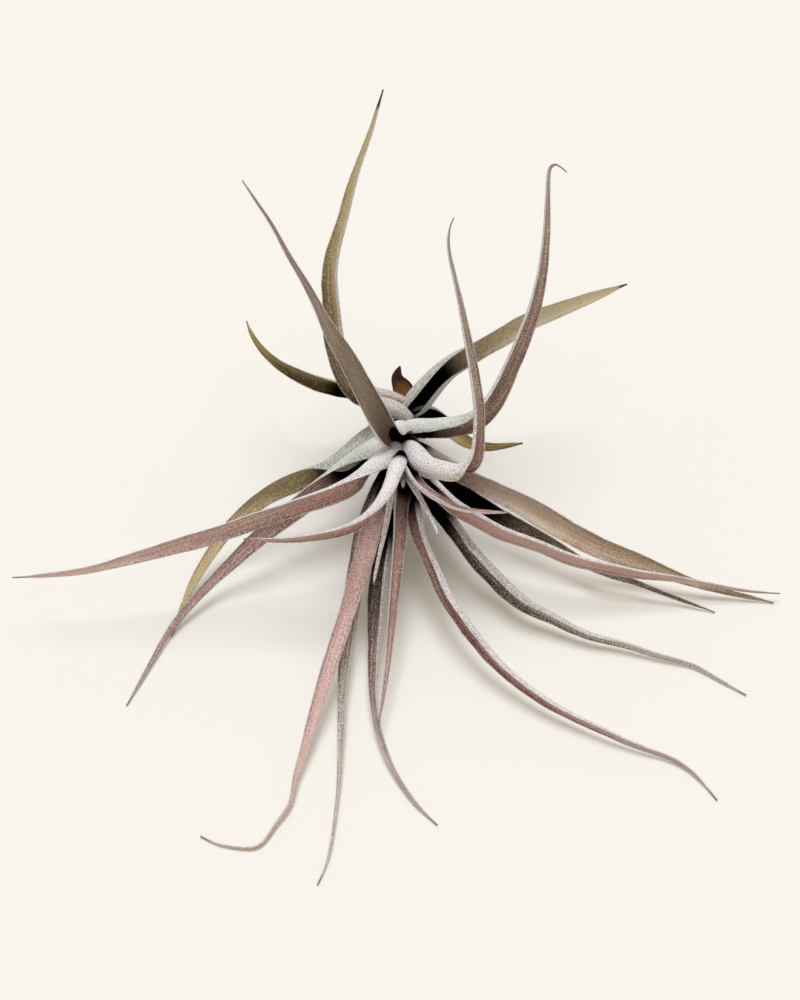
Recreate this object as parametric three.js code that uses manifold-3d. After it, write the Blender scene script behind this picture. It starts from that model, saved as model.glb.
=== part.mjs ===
// A peach tillandsia capitata: an air plant with a short stem and long channelled leaves, picked
// and laid on its side. Its crown points along -Y and a little up, and the front leaves run out
// along the surface. Millimetres, +Z up. The surface is Z = 0, and the origin is the middle of
// the plant's footprint on it.
import * as THREE from "three";
import { mergeVertices } from "three/addons/utils/BufferGeometryUtils.js";
import Module from "manifold-3d";

// Blade thickness along the keel, at the margins, and of the thread that each leaf ends in
const KEEL_THICKNESS = 1.1;
const MARGIN_THICKNESS = 0.7;
const TIP_THICKNESS = 0.75;
// Share of the leaf over which the blade thins down to the thread
const TIP_SHARE = 0.12;

// Each leaf base narrows to this share of its breadth over this share of the leaf
const NECK_BREADTH = 0.62;
const NECK_SHARE = 0.07;

// Space kept between a leaf and the leaves and stem that it grows beside
const CLEARANCE = 0.35;

// Steps along a leaf for each millimetre of its length, the fewest that a leaf gets, how much
// they crowd towards its base, and the steps across its channel
const STEPS_PER_MM = 0.14;
const FEWEST_STEPS = 8;
const BASE_CROWDING = 1.4;
const STEPS_ACROSS = 6;

// The photograph looks down at this angle. Its axes, as columns: right, up and toward the viewer
const ELEVATION = THREE.MathUtils.degToRad(52);
const PHOTO_AXES = new THREE.Matrix4().makeBasis(
  new THREE.Vector3(1, 0, 0),
  new THREE.Vector3(0, Math.sin(ELEVATION), Math.cos(ELEVATION)),
  new THREE.Vector3(0, -Math.cos(ELEVATION), Math.sin(ELEVATION)),
);

// The short stem runs from its butt, which rests on the surface, up and forward to the growing tip
const STEM_BUTT = [0, 62, 2.8];
const STEM_TIP = [-1, 18, 33];
// Distance along the stem, and radius there
const STEM_PROFILE = [
  [0, 0],
  [0.4, 4.4],
  [2.2, 6.6],
  [5, 7.6],
  [8, 7.0],
  [11, 7.2],
  [15, 6.2],
  [20, 6.4],
  [28, 5.6],
  [36, 4.4],
  [43, 3.2],
  [48, 2.4],
  [52, 1.5],
  [53.5, 0],
];
const STEM_SIDES = 20;

// Finishes read off the photograph: each a colour and a roughness
const FINISHES = {
  olive: { color: 0xa5915a, roughness: 0.8 },
  mauve: { color: 0x96796c, roughness: 0.8 },
  pink: { color: 0xb58a82, roughness: 0.8 },
  umber: { color: 0x5f4c42, roughness: 0.85 },
  scurf: { color: 0xcfc6c4, roughness: 0.9 },
  dried: { color: 0x8a5a34, roughness: 0.7 },
  bark: { color: 0x6b5a44, roughness: 0.95 },
};

// The leaves, from the innermost out. A route runs from the stem to the tip along the middle of
// the channel. The lists below it are spread evenly along the leaf: opens is the way the channel
// faces, as right, up and toward in the photograph, breadth is the width across it, and roll is
// half the angle that the blade wraps, in degrees. The sheath is the rolled base: the way it
// faces, its half roll, and the distances from the stem between which it unrolls into the blade.
const LEAVES = [
  {
    name: "centre_spike",
    finish: "scurf",
    route: [[-1, 19, 33], [0, 9, 36], [0, 3, 36]],
    sheath: { opens: [0, 0.1, -0.9], roll: 80, unfurls: [0, 8] },
    opens: [[0, 0.1, -0.9]],
    breadth: [3, 2.4, 0.8],
    roll: [70, 60, 30],
  },
  {
    name: "young_spike_right",
    finish: "scurf",
    route: [[0, 20, 32], [2, 6, 37], [5, 0, 37], [8, -6, 36], [10, -10, 35], [12, -16, 34]],
    sheath: { opens: [0, 0.1, -0.9], roll: 80, unfurls: [0, 20] },
    opens: [[0, 0.1, -0.9]],
    breadth: [3, 2.2, 1.8, 1.3, 0.7],
    roll: [80, 70, 60, 45, 30],
  },
  {
    name: "young_spike_left",
    finish: "scurf",
    route: [
      [-1, 21, 31], [-3, 8, 34], [-4, 2, 34], [-5, -5, 33], [-6, -11, 31], [-8, -19, 28],
      [-10, -29, 24],
    ],
    sheath: { opens: [0, 0.1, -0.9], roll: 80, unfurls: [0, 20] },
    opens: [[0, 0.1, -0.9]],
    breadth: [2.4, 2.2, 1.8, 1.3, 0.7],
    roll: [80, 70, 60, 45, 30],
  },
  {
    name: "young_leaf_right",
    finish: "scurf",
    route: [
      [0, 19, 33], [2.5, 7.5, 40], [5.5, -0.5, 42.5], [10.5, -5.5, 42.5], [17, -9, 41],
      [24, -10, 40], [36, -9, 38],
    ],
    sheath: { opens: [0.5, 0.6, 0.6], roll: 105, unfurls: [10, 30] },
    opens: [[0.3, 0.8, 0.35], [0.3, 0.8, 0.4], [0.2, 0.8, 0.6]],
    breadth: [4, 3.7, 3.1, 2, 0.8],
    roll: [105, 100, 95, 70, 30],
  },
  {
    name: "short_left_leaf",
    finish: "pink",
    route: [
      [-1, 21, 32], [-2, 10, 39], [-4.5, -2, 43], [-7.5, -9, 43], [-11.5, -13.5, 41.5],
      [-17, -16.5, 39.5], [-24, -18, 38], [-35, -18, 35], [-44, -17.5, 33.5], [-54, -15, 31],
    ],
    sheath: { opens: [0.8, 0, -0.6], roll: 120, unfurls: [14, 54] },
    opens: [[0.5, -0.6, 0.6], [0.3, -0.7, 0.65], [0, -0.7, 0.7], [0, -0.6, 0.8]],
    breadth: [6, 6.6, 4.9, 4, 3.2, 1.9, 0.9],
    roll: [120, 105, 95, 80, 40],
  },
  {
    name: "arching_left_leaf",
    finish: "mauve",
    route: [
      [-1, 32, 27], [-1, 30, 35], [-4, 21, 42], [-7, 19, 50], [-11, 22, 58], [-15, 27, 64],
      [-19, 32, 70], [-24, 38, 75], [-32, 52, 83], [-39, 63, 88], [-45, 75, 91], [-51, 85, 93],
      [-56, 94, 94],
    ],
    sheath: { opens: [0.5, -0.6, 0.6], roll: 130, unfurls: [16, 50] },
    opens: [[0.5, -0.6, 0.6], [0.3, 0, 0.92], [0.2, 0.1, 0.94]],
    breadth: [8.4, 7.8, 7.6, 7.6, 6.4, 3.6, 2.1, 1.5, 1, 0.8],
    roll: [130, 75, 45, 50, 50, 30],
  },
  {
    name: "front_middle_leaf",
    finish: "pink",
    route: [
      [0, 21, 30], [0.5, 12, 29], [-1, 3, 27], [-1, -5, 25], [-2, -17, 21], [-3, -28, 18],
      [-4, -39, 14], [-5, -51, 11], [-6.5, -63, 8], [-8, -72, 6],
    ],
    sheath: { opens: [0.3, 0, 0.95], roll: 95, unfurls: [0, 20] },
    opens: [[0.5, 0, 0.87], [0.4, 0, 0.9], [0.3, 0, 0.95]],
    breadth: [6, 4.9, 3.7, 2.1, 0.7],
    roll: [95, 90, 80, 60, 30],
  },
  {
    name: "long_left_leaf",
    finish: "pink",
    route: [
      [-1, 30, 27], [-4.5, 18.5, 35.5], [-10.5, 8.5, 40.5], [-15.5, 1, 43], [-22, -4, 43],
      [-30, -7, 42], [-44, -10.5, 39], [-63, -15.5, 34.5], [-76, -18, 31.5], [-89, -20, 28],
      [-107, -23, 24], [-124, -24, 22], [-133, -24, 21],
    ],
    sheath: { opens: [0, -0.9, -0.2], roll: 120, unfurls: [4, 50] },
    opens: [
      [0.3, -0.7, 0.65], [0.2, -0.6, 0.75], [0.1, -0.5, 0.87], [0, -0.3, 0.95], [0, -0.3, 0.95],
    ],
    breadth: [7.8, 7.4, 6.2, 6.1, 2.9, 0.7],
    roll: [120, 95, 75, 60, 50, 30],
  },
  {
    name: "hooked_right_leaf",
    finish: "pink",
    route: [
      [0.5, 28.5, 29], [4, 18, 37], [8, 8.5, 41.5], [13, 2.5, 47], [18, -2.5, 51.5],
      [24, -1.5, 55], [25, 5, 59], [25.5, 13, 63], [24, 25, 69], [21.5, 40, 74], [19, 55, 78],
      [16, 72, 81], [16, 81, 82], [18, 87, 83],
    ],
    sheath: { opens: [0, -0.5, -0.87], roll: 120, unfurls: [34, 54] },
    opens: [[0.6, -0.3, 0.7], [0.6, -0.3, 0.7], [0.6, 0, 0.8], [0.5, 0, 0.85], [0.4, 0, 0.9]],
    breadth: [7.2, 7, 4, 3.2, 1.6, 0.7],
    roll: [120, 105, 100, 90, 70, 40],
  },
  {
    name: "front_kinked_leaf",
    finish: "pink",
    route: [
      [-1, 24, 28], [-3.5, 15, 26], [-6.5, 7, 25], [-11, -5, 23], [-14, -17, 20],
      [-21, -41, 14], [-27, -61, 9], [-32, -80, 5], [-35, -91, 3], [-36.5, -100, 1.8],
      [-41, -107.5, 1.2], [-45.5, -114.5, 0.8], [-51, -115.5, 0.6], [-59, -114, 0.5],
      [-65, -111, 0.3],
    ],
    sheath: { opens: [0.1, 0, 1], roll: 90, unfurls: [0, 20] },
    opens: [[0.15, 0.1, 1], [0.1, 0, 1], [0, 0, 1]],
    breadth: [6, 7.6, 7, 5.4, 5.2, 3.5, 1.4, 0.9, 0.7],
    roll: [90, 65, 62, 60, 50, 30],
  },
  {
    name: "side_right_leaf_upper",
    finish: "pink",
    route: [
      [2, 24, 30], [6, 15, 30], [12, 8, 29], [18, 2, 27], [26, -2, 25], [33.5, -6, 23],
      [46, -9.5, 20.5], [59, -14, 17.5], [71, -15, 14.5], [82, -16, 12], [95, -16.5, 10],
      [107, -16.5, 6.5], [120, -17.5, 4], [132, -18, 3],
    ],
    sheath: { opens: [0, -0.9, 0.4], roll: 105, unfurls: [0, 26] },
    opens: [[-0.3, -0.6, 0.75], [-0.25, -0.6, 0.77], [-0.15, -0.55, 0.82], [0, -0.4, 0.9]],
    breadth: [6.4, 5.4, 4.2, 3.9, 1.3, 0.7],
    roll: [105, 100, 98, 92, 80, 40],
  },
  {
    name: "front_right_leaf",
    finish: "pink",
    route: [
      [1, 22, 28], [2, 12, 27], [4, 2, 25], [6, -8, 22], [10, -17.5, 19.5], [15.5, -29.5, 15.5],
      [25, -43, 11.5], [34, -53, 8], [45, -62, 6], [55.5, -68.5, 4.5], [67, -74.5, 4],
      [78, -79.5, 2.4], [88, -83, 1.6], [95, -88, 1], [102, -98, 0.3],
    ],
    sheath: { opens: [-0.6, -0.1, 0.8], roll: 100, unfurls: [0, 20] },
    opens: [[-0.6, -0.1, 0.8], [-0.7, -0.5, 0.6], [-0.5, -0.6, 0.6], [-0.2, -0.3, 0.9]],
    breadth: [6.2, 5, 5, 3.4, 2.1, 0.7],
    roll: [100, 105, 105, 100, 80, 40],
  },
  {
    name: "tall_right_leaf",
    finish: "mauve",
    route: [
      [1, 43, 18], [4, 36, 29], [10, 30, 36], [16, 25.5, 42.5], [23, 24, 46], [28, 25, 50],
      [32, 29, 54], [37.5, 38, 61], [43, 47, 71], [47, 58, 80], [49, 70, 88], [50, 84, 94],
      [51, 98, 98], [53.5, 98, 98], [57, 95, 97],
    ],
    sheath: { opens: [0, -0.95, 0.3], roll: 100, unfurls: [32, 62] },
    opens: [[0.3, -0.8, 0.5], [0.5, -0.3, 0.8], [0.6, -0.1, 0.77], [0.5, 0, 0.85]],
    breadth: [10, 9.6, 6.4, 4.8, 2.4, 0.7],
    roll: [100, 95, 90, 85, 70, 40],
  },
  {
    name: "tall_back_leaf",
    finish: "olive",
    route: [
      [5, 47, 18], [1, 47, 23], [-4, 46, 29], [-10, 43, 34], [-16.5, 39, 46], [-22, 43, 58],
      [-24, 50, 74], [-24.5, 60, 86], [-20.5, 74, 94], [-16.5, 90, 100], [-11, 109, 104],
      [-9, 119, 105], [-7, 128, 106],
    ],
    sheath: { opens: [0, -0.8, -0.5], roll: 120, unfurls: [14, 45] },
    opens: [[-0.3, -0.7, 0.55], [-0.6, 0, 0.78], [-0.6, 0, 0.78]],
    breadth: [5, 8, 7.1, 4.7, 2.8, 0.9],
    roll: [120, 95, 90, 80, 60, 30],
  },
  {
    name: "side_left_leaf_inner",
    finish: "mauve",
    route: [
      [-2, 37, 25], [-9, 27, 30], [-18, 19, 30], [-26.5, 12.5, 27.5], [-36.5, 5.5, 23],
      [-43.5, 1.5, 19.5], [-51, -4, 16.5], [-58, -9, 12], [-67, -16, 7], [-75, -25, 4],
      [-81, -33.5, 2.2], [-85.5, -44, 1.2], [-93, -62, 0.3],
    ],
    sheath: { opens: [0, -0.8, 0.1], roll: 120, unfurls: [6, 44] },
    opens: [[0, -0.75, 0.58], [0, -0.42, 0.84], [0, 0.1, 1]],
    breadth: [7, 9, 7.6, 3.8, 1.9, 0.7],
    roll: [120, 80, 60, 50, 45, 30],
  },
  {
    name: "side_right_leaf_back",
    finish: "olive",
    route: [
      [2, 34, 24], [8, 28, 25], [15, 22.5, 25], [22, 18.5, 24], [31, 13.5, 22.5],
      [43, 7.5, 20.5], [57, -1, 17.5], [70, -6, 13], [83, -9, 9.5], [97, -13.5, 6],
      [111, -16.5, 3], [125, -19, 1], [130, -20, 0.3],
    ],
    sheath: { opens: [0, -0.85, 0.5], roll: 115, unfurls: [10, 38] },
    opens: [[0, -0.6, 0.8], [0, -0.2, 0.97], [0, 0, 1]],
    breadth: [6.4, 6.2, 8.2, 6.8, 2.8, 0.8],
    roll: [110, 75, 65, 60, 50, 30],
  },
  {
    name: "front_dark_leaf",
    finish: "umber",
    route: [
      [0, 28, 24], [-2, 18, 19], [-4.5, 7, 16], [-7, -11, 13], [-8.5, -24, 11], [-9.5, -41, 8],
      [-10, -59, 6], [-8.5, -72, 4], [-4.5, -85, 2.4], [0.5, -94.5, 1.4], [5.5, -101.5, 0.9],
      [11, -107, 0.3],
    ],
    sheath: { opens: [-0.6, 0, 0.8], roll: 100, unfurls: [0, 20] },
    opens: [[-0.7, 0, 0.7], [-0.65, 0.05, 0.75], [-0.5, -0.1, 0.8], [0, 0, 1]],
    breadth: [6.4, 6.6, 6.4, 3, 1.7, 0.7],
    roll: [100, 103, 100, 90, 70, 35],
  },
  {
    name: "front_right_under_leaf",
    finish: "umber",
    route: [
      [1, 29, 24], [6, 20, 21], [12, 9, 18], [16.5, 4, 16], [24, -7, 13], [32, -16, 10],
      [41, -25, 8], [51, -30, 6], [63, -36, 4], [75, -39, 3], [88, -43.5, 2], [99, -46.5, 1.2],
      [107, -52, 0.8], [116, -58, 0.3],
    ],
    sheath: { opens: [-0.6, -0.4, 0.65], roll: 100, unfurls: [0, 20] },
    opens: [[-0.6, -0.4, 0.65], [-0.56, -0.65, 0.5], [-0.36, -0.75, 0.55], [-0.15, -0.3, 0.9]],
    breadth: [5.4, 6.4, 7, 3.3, 2, 0.7],
    roll: [100, 100, 100, 95, 70, 35],
  },
  {
    name: "side_right_leaf_dark",
    finish: "umber",
    route: [
      [3, 34, 21], [10, 26, 18], [20, 18, 16], [31, 10, 15], [41, 3.5, 14], [52, -2.5, 12],
      [62.5, -9, 10], [71, -13, 8.5], [81, -15, 6], [90, -18, 4], [100, -21, 1.8],
      [109, -24, 0.3],
    ],
    sheath: { opens: [0, -0.6, 0.75], roll: 110, unfurls: [0, 20] },
    opens: [[0, -0.6, 0.75], [0, -0.5, 0.85], [0, 0, 1]],
    breadth: [6.4, 7, 6, 3.4, 1.8, 0.7],
    roll: [110, 75, 60, 50, 45, 30],
  },
  {
    name: "front_under_leaf",
    finish: "umber",
    route: [
      [-1, 30, 21], [-5, 22, 19], [-9, 13, 17], [-13, 1, 15], [-15.5, -14, 12], [-17.5, -29, 9],
      [-20, -55, 5], [-20.5, -75, 3], [-21, -93, 1.8], [-22.5, -110, 1], [-24, -120, 0.7],
      [-27, -128, 0.3],
    ],
    sheath: { opens: [-0.4, 0, 0.9], roll: 100, unfurls: [0, 20] },
    opens: [[-0.5, 0.1, 0.85], [-0.5, 0.1, 0.85], [-0.3, 0.2, 0.93]],
    breadth: [6.4, 7, 6, 2.8, 1.1, 0.7],
    roll: [100, 90, 90, 80, 50, 30],
  },
  {
    name: "side_left_leaf_outer",
    finish: "olive",
    route: [
      [-2, 45, 20], [-11, 36, 25], [-19, 24, 28], [-27, 18, 28], [-35.5, 15, 26], [-45, 13, 22],
      [-54, 9, 17], [-62, 3, 12], [-67.5, -4, 8], [-73, -13, 4.5], [-76.5, -21.5, 1.8],
      [-80, -34, 0.3],
    ],
    sheath: { opens: [0, -0.8, -0.3], roll: 130, unfurls: [26, 50] },
    opens: [[0, -0.8, 0.5], [-0.1, -0.5, 0.8], [-0.2, -0.2, 0.9], [0, 0.15, 1]],
    breadth: [7, 8, 7.5, 5, 3.4, 0.8],
    roll: [120, 85, 60, 50, 45, 30],
  },
  {
    name: "back_right_leaf",
    finish: "olive",
    route: [
      [2, 56, 14], [7, 57, 22], [10.5, 57.5, 28], [16.5, 59.5, 35], [26, 60, 43], [37, 62, 50],
      [45, 65, 54], [53, 67, 56], [63, 69.5, 59], [74, 74, 60], [80, 76, 61],
    ],
    sheath: { opens: [0.1, -0.15, 1], roll: 150, unfurls: [10, 48] },
    opens: [[0.1, -0.2, 1], [0.1, -0.25, 0.97], [0.2, -0.3, 0.93]],
    breadth: [9.5, 8.8, 7, 6.8, 6.9, 5.8, 4, 0.9],
    roll: [140, 130, 110, 75, 60, 50, 45, 30],
  },
  {
    name: "back_left_leaf",
    finish: "olive",
    route: [
      [4, 60, 10], [-1, 63, 13], [-8, 61, 18], [-14, 59, 22], [-22, 57.5, 26], [-30, 55.5, 31],
      [-37, 56.5, 34], [-44, 58.5, 37], [-51, 64.5, 39], [-55, 70.5, 41], [-57, 76, 42],
    ],
    sheath: { opens: [0, -0.95, 0.1], roll: 120, unfurls: [10, 40] },
    opens: [[-0.2, -0.75, 0.6], [-0.2, -0.61, 0.73], [-0.2, -0.3, 0.9]],
    breadth: [4.4, 6, 7.4, 5.9, 3, 0.8],
    roll: [110, 90, 75, 60, 45, 30],
  },
  {
    name: "low_right_leaf",
    finish: "olive",
    route: [
      [3, 59, 8], [10, 56, 15], [16, 47, 18], [22, 38, 20], [28, 34, 21], [34, 33, 22],
      [38, 33, 23], [43, 33, 24],
    ],
    sheath: { opens: [0, -0.6, 0.75], roll: 110, unfurls: [0, 20] },
    opens: [[0, -0.6, 0.75], [0, -0.4, 0.9], [0, -0.2, 0.97]],
    breadth: [6, 6.6, 6.4, 5, 3, 0.9],
    roll: [110, 85, 65, 50, 45, 30],
  },
  {
    name: "dried_sheath",
    finish: "dried",
    route: [
      [1, 62, 8], [0.6, 67, 12.5], [-1, 69, 15.5], [-2.2, 70, 18], [-1.6, 70.7, 20.8],
      [-1, 71, 23],
    ],
    sheath: { opens: [0, 0, 1], roll: 70, unfurls: [0, 8] },
    opens: [[0, 0, 1]],
    breadth: [8.4, 9.4, 7.4, 4.4, 0.8],
    roll: [70, 70, 70, 60, 30],
  },
];

// A value from a list that is spread evenly from share 0 to share 1
function spread(list, share) {
  const place = share * (list.length - 1);
  const index = Math.min(Math.floor(place), list.length - 2);
  if (index < 0) return list[0];
  return THREE.MathUtils.lerp(list[index], list[index + 1], place - index);
}

// The same for a list of directions
function spreadDirection(list, share) {
  return new THREE.Vector3(
    ...[0, 1, 2].map((axis) => spread(list.map((direction) => direction[axis]), share)),
  );
}

// How a leaf lies at one share of its length: the place, the way it runs, the way its channel
// faces, the width across it and the half angle that it wraps
function leafPose(leaf, curve, share) {
  const length = curve.getLength();
  const unfurled = THREE.MathUtils.smoothstep(share * length, ...leaf.sheath.unfurls);
  const along = curve.getTangentAt(share);
  const opening = new THREE.Vector3(...leaf.sheath.opens)
    .normalize()
    .lerp(spreadDirection(leaf.opens, share).normalize(), unfurled)
    .transformDirection(PHOTO_AXES);
  opening.addScaledVector(along, -opening.dot(along)).normalize();
  const neck = THREE.MathUtils.lerp(
    NECK_BREADTH,
    1,
    THREE.MathUtils.smoothstep(share, 0, NECK_SHARE),
  );
  const roll = THREE.MathUtils.lerp(leaf.sheath.roll, spread(leaf.roll, share), unfurled);
  return {
    centre: curve.getPointAt(share),
    side: new THREE.Vector3().crossVectors(along, opening),
    opening,
    breadth: spread(leaf.breadth, share) * neck,
    roll: THREE.MathUtils.degToRad(roll),
  };
}

// One leaf as a closed surface. Each section across it is an arc of the channel with the blade's
// thickness about it. The extra thickness makes the fatter copy that its neighbours are kept off.
function leafGeometry(leaf, extra = 0) {
  const curve = new THREE.CatmullRomCurve3(
    leaf.route.map((point) => new THREE.Vector3(...point)),
    false,
    "catmullrom",
  );
  const steps = Math.max(FEWEST_STEPS, Math.round(curve.getLength() * STEPS_PER_MM));
  const around = 2 * (STEPS_ACROSS + 1);
  const positions = [];
  const index = [];
  for (let step = 0; step <= steps; step += 1) {
    const share = Math.pow(step / steps, BASE_CROWDING);
    positions.push(...leafSection(leafPose(leaf, curve, share), share, extra));
  }
  for (let step = 0; step < steps; step += 1) {
    for (let corner = 0; corner < around; corner += 1) {
      const a = step * around + corner;
      const b = step * around + ((corner + 1) % around);
      index.push(a, a + around, b, b, a + around, b + around);
    }
  }
  for (let corner = 0; corner < STEPS_ACROSS; corner += 1) {
    // The two ends are closed by strips from the outer face to the inner face
    const outer = corner;
    const inner = around - 1 - corner;
    const end = steps * around;
    index.push(outer, outer + 1, inner, outer + 1, inner - 1, inner);
    index.push(end + outer, end + inner, end + outer + 1);
    index.push(end + outer + 1, end + inner, end + inner - 1);
  }
  const geometry = new THREE.BufferGeometry();
  geometry.setAttribute("position", new THREE.Float32BufferAttribute(positions, 3));
  geometry.setIndex(index);
  return geometry;
}

// The corners of one section: along the outer face from one margin to the other, and back along
// the inner face
function leafSection({ centre, side, opening, breadth, roll }, share, extra) {
  const radius = breadth / 2 / Math.sin(Math.min(roll, Math.PI / 2));
  const middle = (radius * (1 + Math.cos(roll))) / 2;
  const toTip = THREE.MathUtils.smoothstep(share, 1 - TIP_SHARE, 1);
  const corners = [];
  for (const face of [1, -1]) {
    for (let i = 0; i <= STEPS_ACROSS; i += 1) {
      const across = (face * (2 * i - STEPS_ACROSS)) / STEPS_ACROSS;
      const blade = THREE.MathUtils.lerp(KEEL_THICKNESS, MARGIN_THICKNESS, across * across);
      const thickness = THREE.MathUtils.lerp(blade, TIP_THICKNESS, toTip) + 2 * extra;
      const angle = across * (roll + extra / radius);
      const reach = Math.max(radius + (face * thickness) / 2, 0.05);
      const corner = centre
        .clone()
        .addScaledVector(side, reach * Math.sin(angle))
        .addScaledVector(opening, middle - reach * Math.cos(angle));
      // What rests on the surface is flattened there
      corners.push(corner.x, corner.y, Math.max(corner.z, 0));
    }
  }
  return corners;
}

// The stem: a turned profile laid along its axis, with a flat spot where it rests
function stemGeometry(extra = 0) {
  const profile = STEM_PROFILE.map(
    ([along, radius]) => new THREE.Vector2(radius ? radius + extra : 0, along),
  );
  const turned = new THREE.LatheGeometry(profile, STEM_SIDES);
  const butt = new THREE.Vector3(...STEM_BUTT);
  const axis = new THREE.Vector3(...STEM_TIP).sub(butt).normalize();
  turned.applyQuaternion(
    new THREE.Quaternion().setFromUnitVectors(new THREE.Vector3(0, 1, 0), axis),
  );
  turned.translate(...STEM_BUTT);
  const position = turned.getAttribute("position");
  for (let i = 0; i < position.count; i += 1) {
    position.setZ(i, Math.max(position.getZ(i), 0));
  }
  return turned;
}

const wasm = await Module();
wasm.setup();

// A geometry as a solid that can be cut
function solid(geometry) {
  geometry.deleteAttribute("normal");
  geometry.deleteAttribute("uv");
  const merged = mergeVertices(geometry);
  return new wasm.Manifold(
    new wasm.Mesh({
      numProp: 3,
      vertProperties: merged.getAttribute("position").array,
      triVerts: new Uint32Array(merged.index.array),
    }),
  );
}

// The largest body of a solid, as a geometry
function geometryOf(cut) {
  const largest = cut.decompose().reduce((a, b) => (b.volume() > a.volume() ? b : a));
  const mesh = largest.getMesh();
  const geometry = new THREE.BufferGeometry();
  geometry.setAttribute("position", new THREE.BufferAttribute(mesh.vertProperties, 3));
  geometry.setIndex(new THREE.BufferAttribute(mesh.triVerts, 1));
  geometry.computeVertexNormals();
  return geometry;
}

function makeMesh(name, geometry, finish) {
  const material = new THREE.MeshStandardMaterial({ ...FINISHES[finish], metalness: 0 });
  const mesh = new THREE.Mesh(geometry, material);
  mesh.name = name;
  return mesh;
}

// Each leaf is trimmed to clear the stem and the leaves inside it
const plant = new THREE.Group();
plant.add(makeMesh("stem", geometryOf(solid(stemGeometry())), "bark"));
const kept = [solid(stemGeometry(CLEARANCE))];
for (const leaf of LEAVES) {
  let blade = solid(leafGeometry(leaf));
  for (const neighbour of kept) blade = blade.subtract(neighbour);
  kept.push(solid(leafGeometry(leaf, CLEARANCE)));
  plant.add(makeMesh(leaf.name, geometryOf(blade), leaf.finish));
}

export default plant;
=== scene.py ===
"""An air plant, a peach tillandsia capitata, lying on its side on a pale surface.

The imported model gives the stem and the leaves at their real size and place. This script puts a
finer surface in the place of each: channelled blades with thin margins and threadlike tips, a
stem with the scars of old leaves, and their coat of fine scales. The tables give lengths in
millimetres, and every mesh is in metres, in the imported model's own frame.
"""

import logging
from dataclasses import dataclass
from enum import Enum
from typing import Any

import bpy
import numpy as np
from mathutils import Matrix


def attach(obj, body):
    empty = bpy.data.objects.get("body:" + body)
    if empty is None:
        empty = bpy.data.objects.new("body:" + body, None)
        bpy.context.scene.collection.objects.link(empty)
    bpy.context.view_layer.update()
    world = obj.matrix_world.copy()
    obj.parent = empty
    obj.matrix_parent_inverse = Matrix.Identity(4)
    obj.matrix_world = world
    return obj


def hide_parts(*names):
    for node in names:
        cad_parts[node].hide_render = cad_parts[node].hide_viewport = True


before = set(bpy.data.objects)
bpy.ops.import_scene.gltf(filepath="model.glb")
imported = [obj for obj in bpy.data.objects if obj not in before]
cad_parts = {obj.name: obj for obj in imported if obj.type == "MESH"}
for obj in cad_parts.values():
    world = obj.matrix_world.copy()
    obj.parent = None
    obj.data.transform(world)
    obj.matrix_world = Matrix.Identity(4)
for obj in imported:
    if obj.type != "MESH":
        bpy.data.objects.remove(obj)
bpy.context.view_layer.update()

logger = logging.getLogger("air_plant")

MM = 0.001
SEED = 20

# The photograph looks down at this angle, in degrees. Its right, up and toward the viewer
ELEVATION = 52.0
SINE, COSINE = np.sin(np.radians(ELEVATION)), np.cos(np.radians(ELEVATION))
PHOTO_AXES = np.array([(1, 0, 0), (0, SINE, COSINE), (0, -COSINE, SINE)])

# Each sine of a wave is shorter and weaker than the last one by these factors. Its length is a
# little unsure, and the sum is brought back to a height of about 1
WAVE_SINES = 4
WAVE_SHORTER = 1.7
WAVE_WEAKER = 1.6
WAVE_UNSURE = (0.85, 1.15)
WAVE_PEAK = 1.8

Array = np.ndarray
Faces = list[list[int]]
Marks = dict[str, Array]
Point = tuple[float, float, float]
Socket = bpy.types.NodeSocket


class Tone(Enum):
    """The colours of the plant, as they show in even light, in red, green and blue out of 255."""

    FROST = (238, 232, 232)
    LILAC = (200, 180, 186)
    ASH = (224, 225, 217)
    CHALK = (230, 223, 217)
    SAND = (214, 200, 172)
    PETAL = (228, 202, 194)
    PEWTER = (150, 150, 140)
    SLATE = (92, 88, 72)
    PLUM = (122, 96, 94)
    # Near black: painted shade for the deep shade in the crown and in the channels near the stem. It
    # also colours the dark tip of the tall back leaf and the deepest fibres of the stem
    BLACK = (4, 3, 3)
    UMBER = (78, 58, 46)
    COCOA = (108, 80, 64)
    TAUPE = (140, 114, 90)
    ROSEWOOD = (150, 104, 95)
    ROSE = (186, 134, 127)
    BLUSH = (214, 156, 148)
    MAUVE = (158, 124, 110)
    MOSS = (84, 70, 36)
    OLIVE = (142, 120, 68)
    KHAKI = (172, 150, 98)
    GOLD = (208, 180, 116)
    AMBER = (186, 128, 58)
    CHESTNUT = (70, 40, 22)
    STRAW = (196, 168, 128)
    BARK = (104, 84, 62)

    @property
    def rgba(self) -> tuple[float, float, float, float]:
        """The colour in linear light, by the standard screen curve."""
        share = np.array(self.value) / 255
        linear = np.where(share <= 0.04045, share / 12.92, ((share + 0.055) / 1.055) ** 2.4)
        return (*linear.tolist(), 1.0)


class Slot(Enum):
    """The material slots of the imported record."""

    PINK = "pink_leaf"
    MAUVE = "mauve_leaf"
    OLIVE = "olive_leaf"
    UMBER = "umber_leaf"
    YOUNG = "young_leaf"
    DRIED = "dried_sheath"
    STEM = "stem"


@dataclass(frozen=True)
class Cloud:
    """A cloudy pattern between 0 and 1.

    Attributes:
        scale: Its repeats in a metre.
        detail: How many finer layers it has.
        roughness: How strong they are.
        along: Its scale along the piece, as a share of the one across it. Less draws it out.
        shift: How far it is moved across the piece, in metres.
    """

    scale: float
    detail: float
    roughness: float = 0.5
    along: float = 1.0
    shift: float = 0.0


@dataclass(frozen=True)
class Step:
    """A smooth step of a level.

    Attributes:
        start: The measured value where the step starts.
        stop: The one where it ends. Below the start, the step runs backwards.
        before: The level before the step.
        after: The level after it.
    """

    start: float
    stop: float
    before: float = 0.0
    after: float = 1.0


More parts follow.
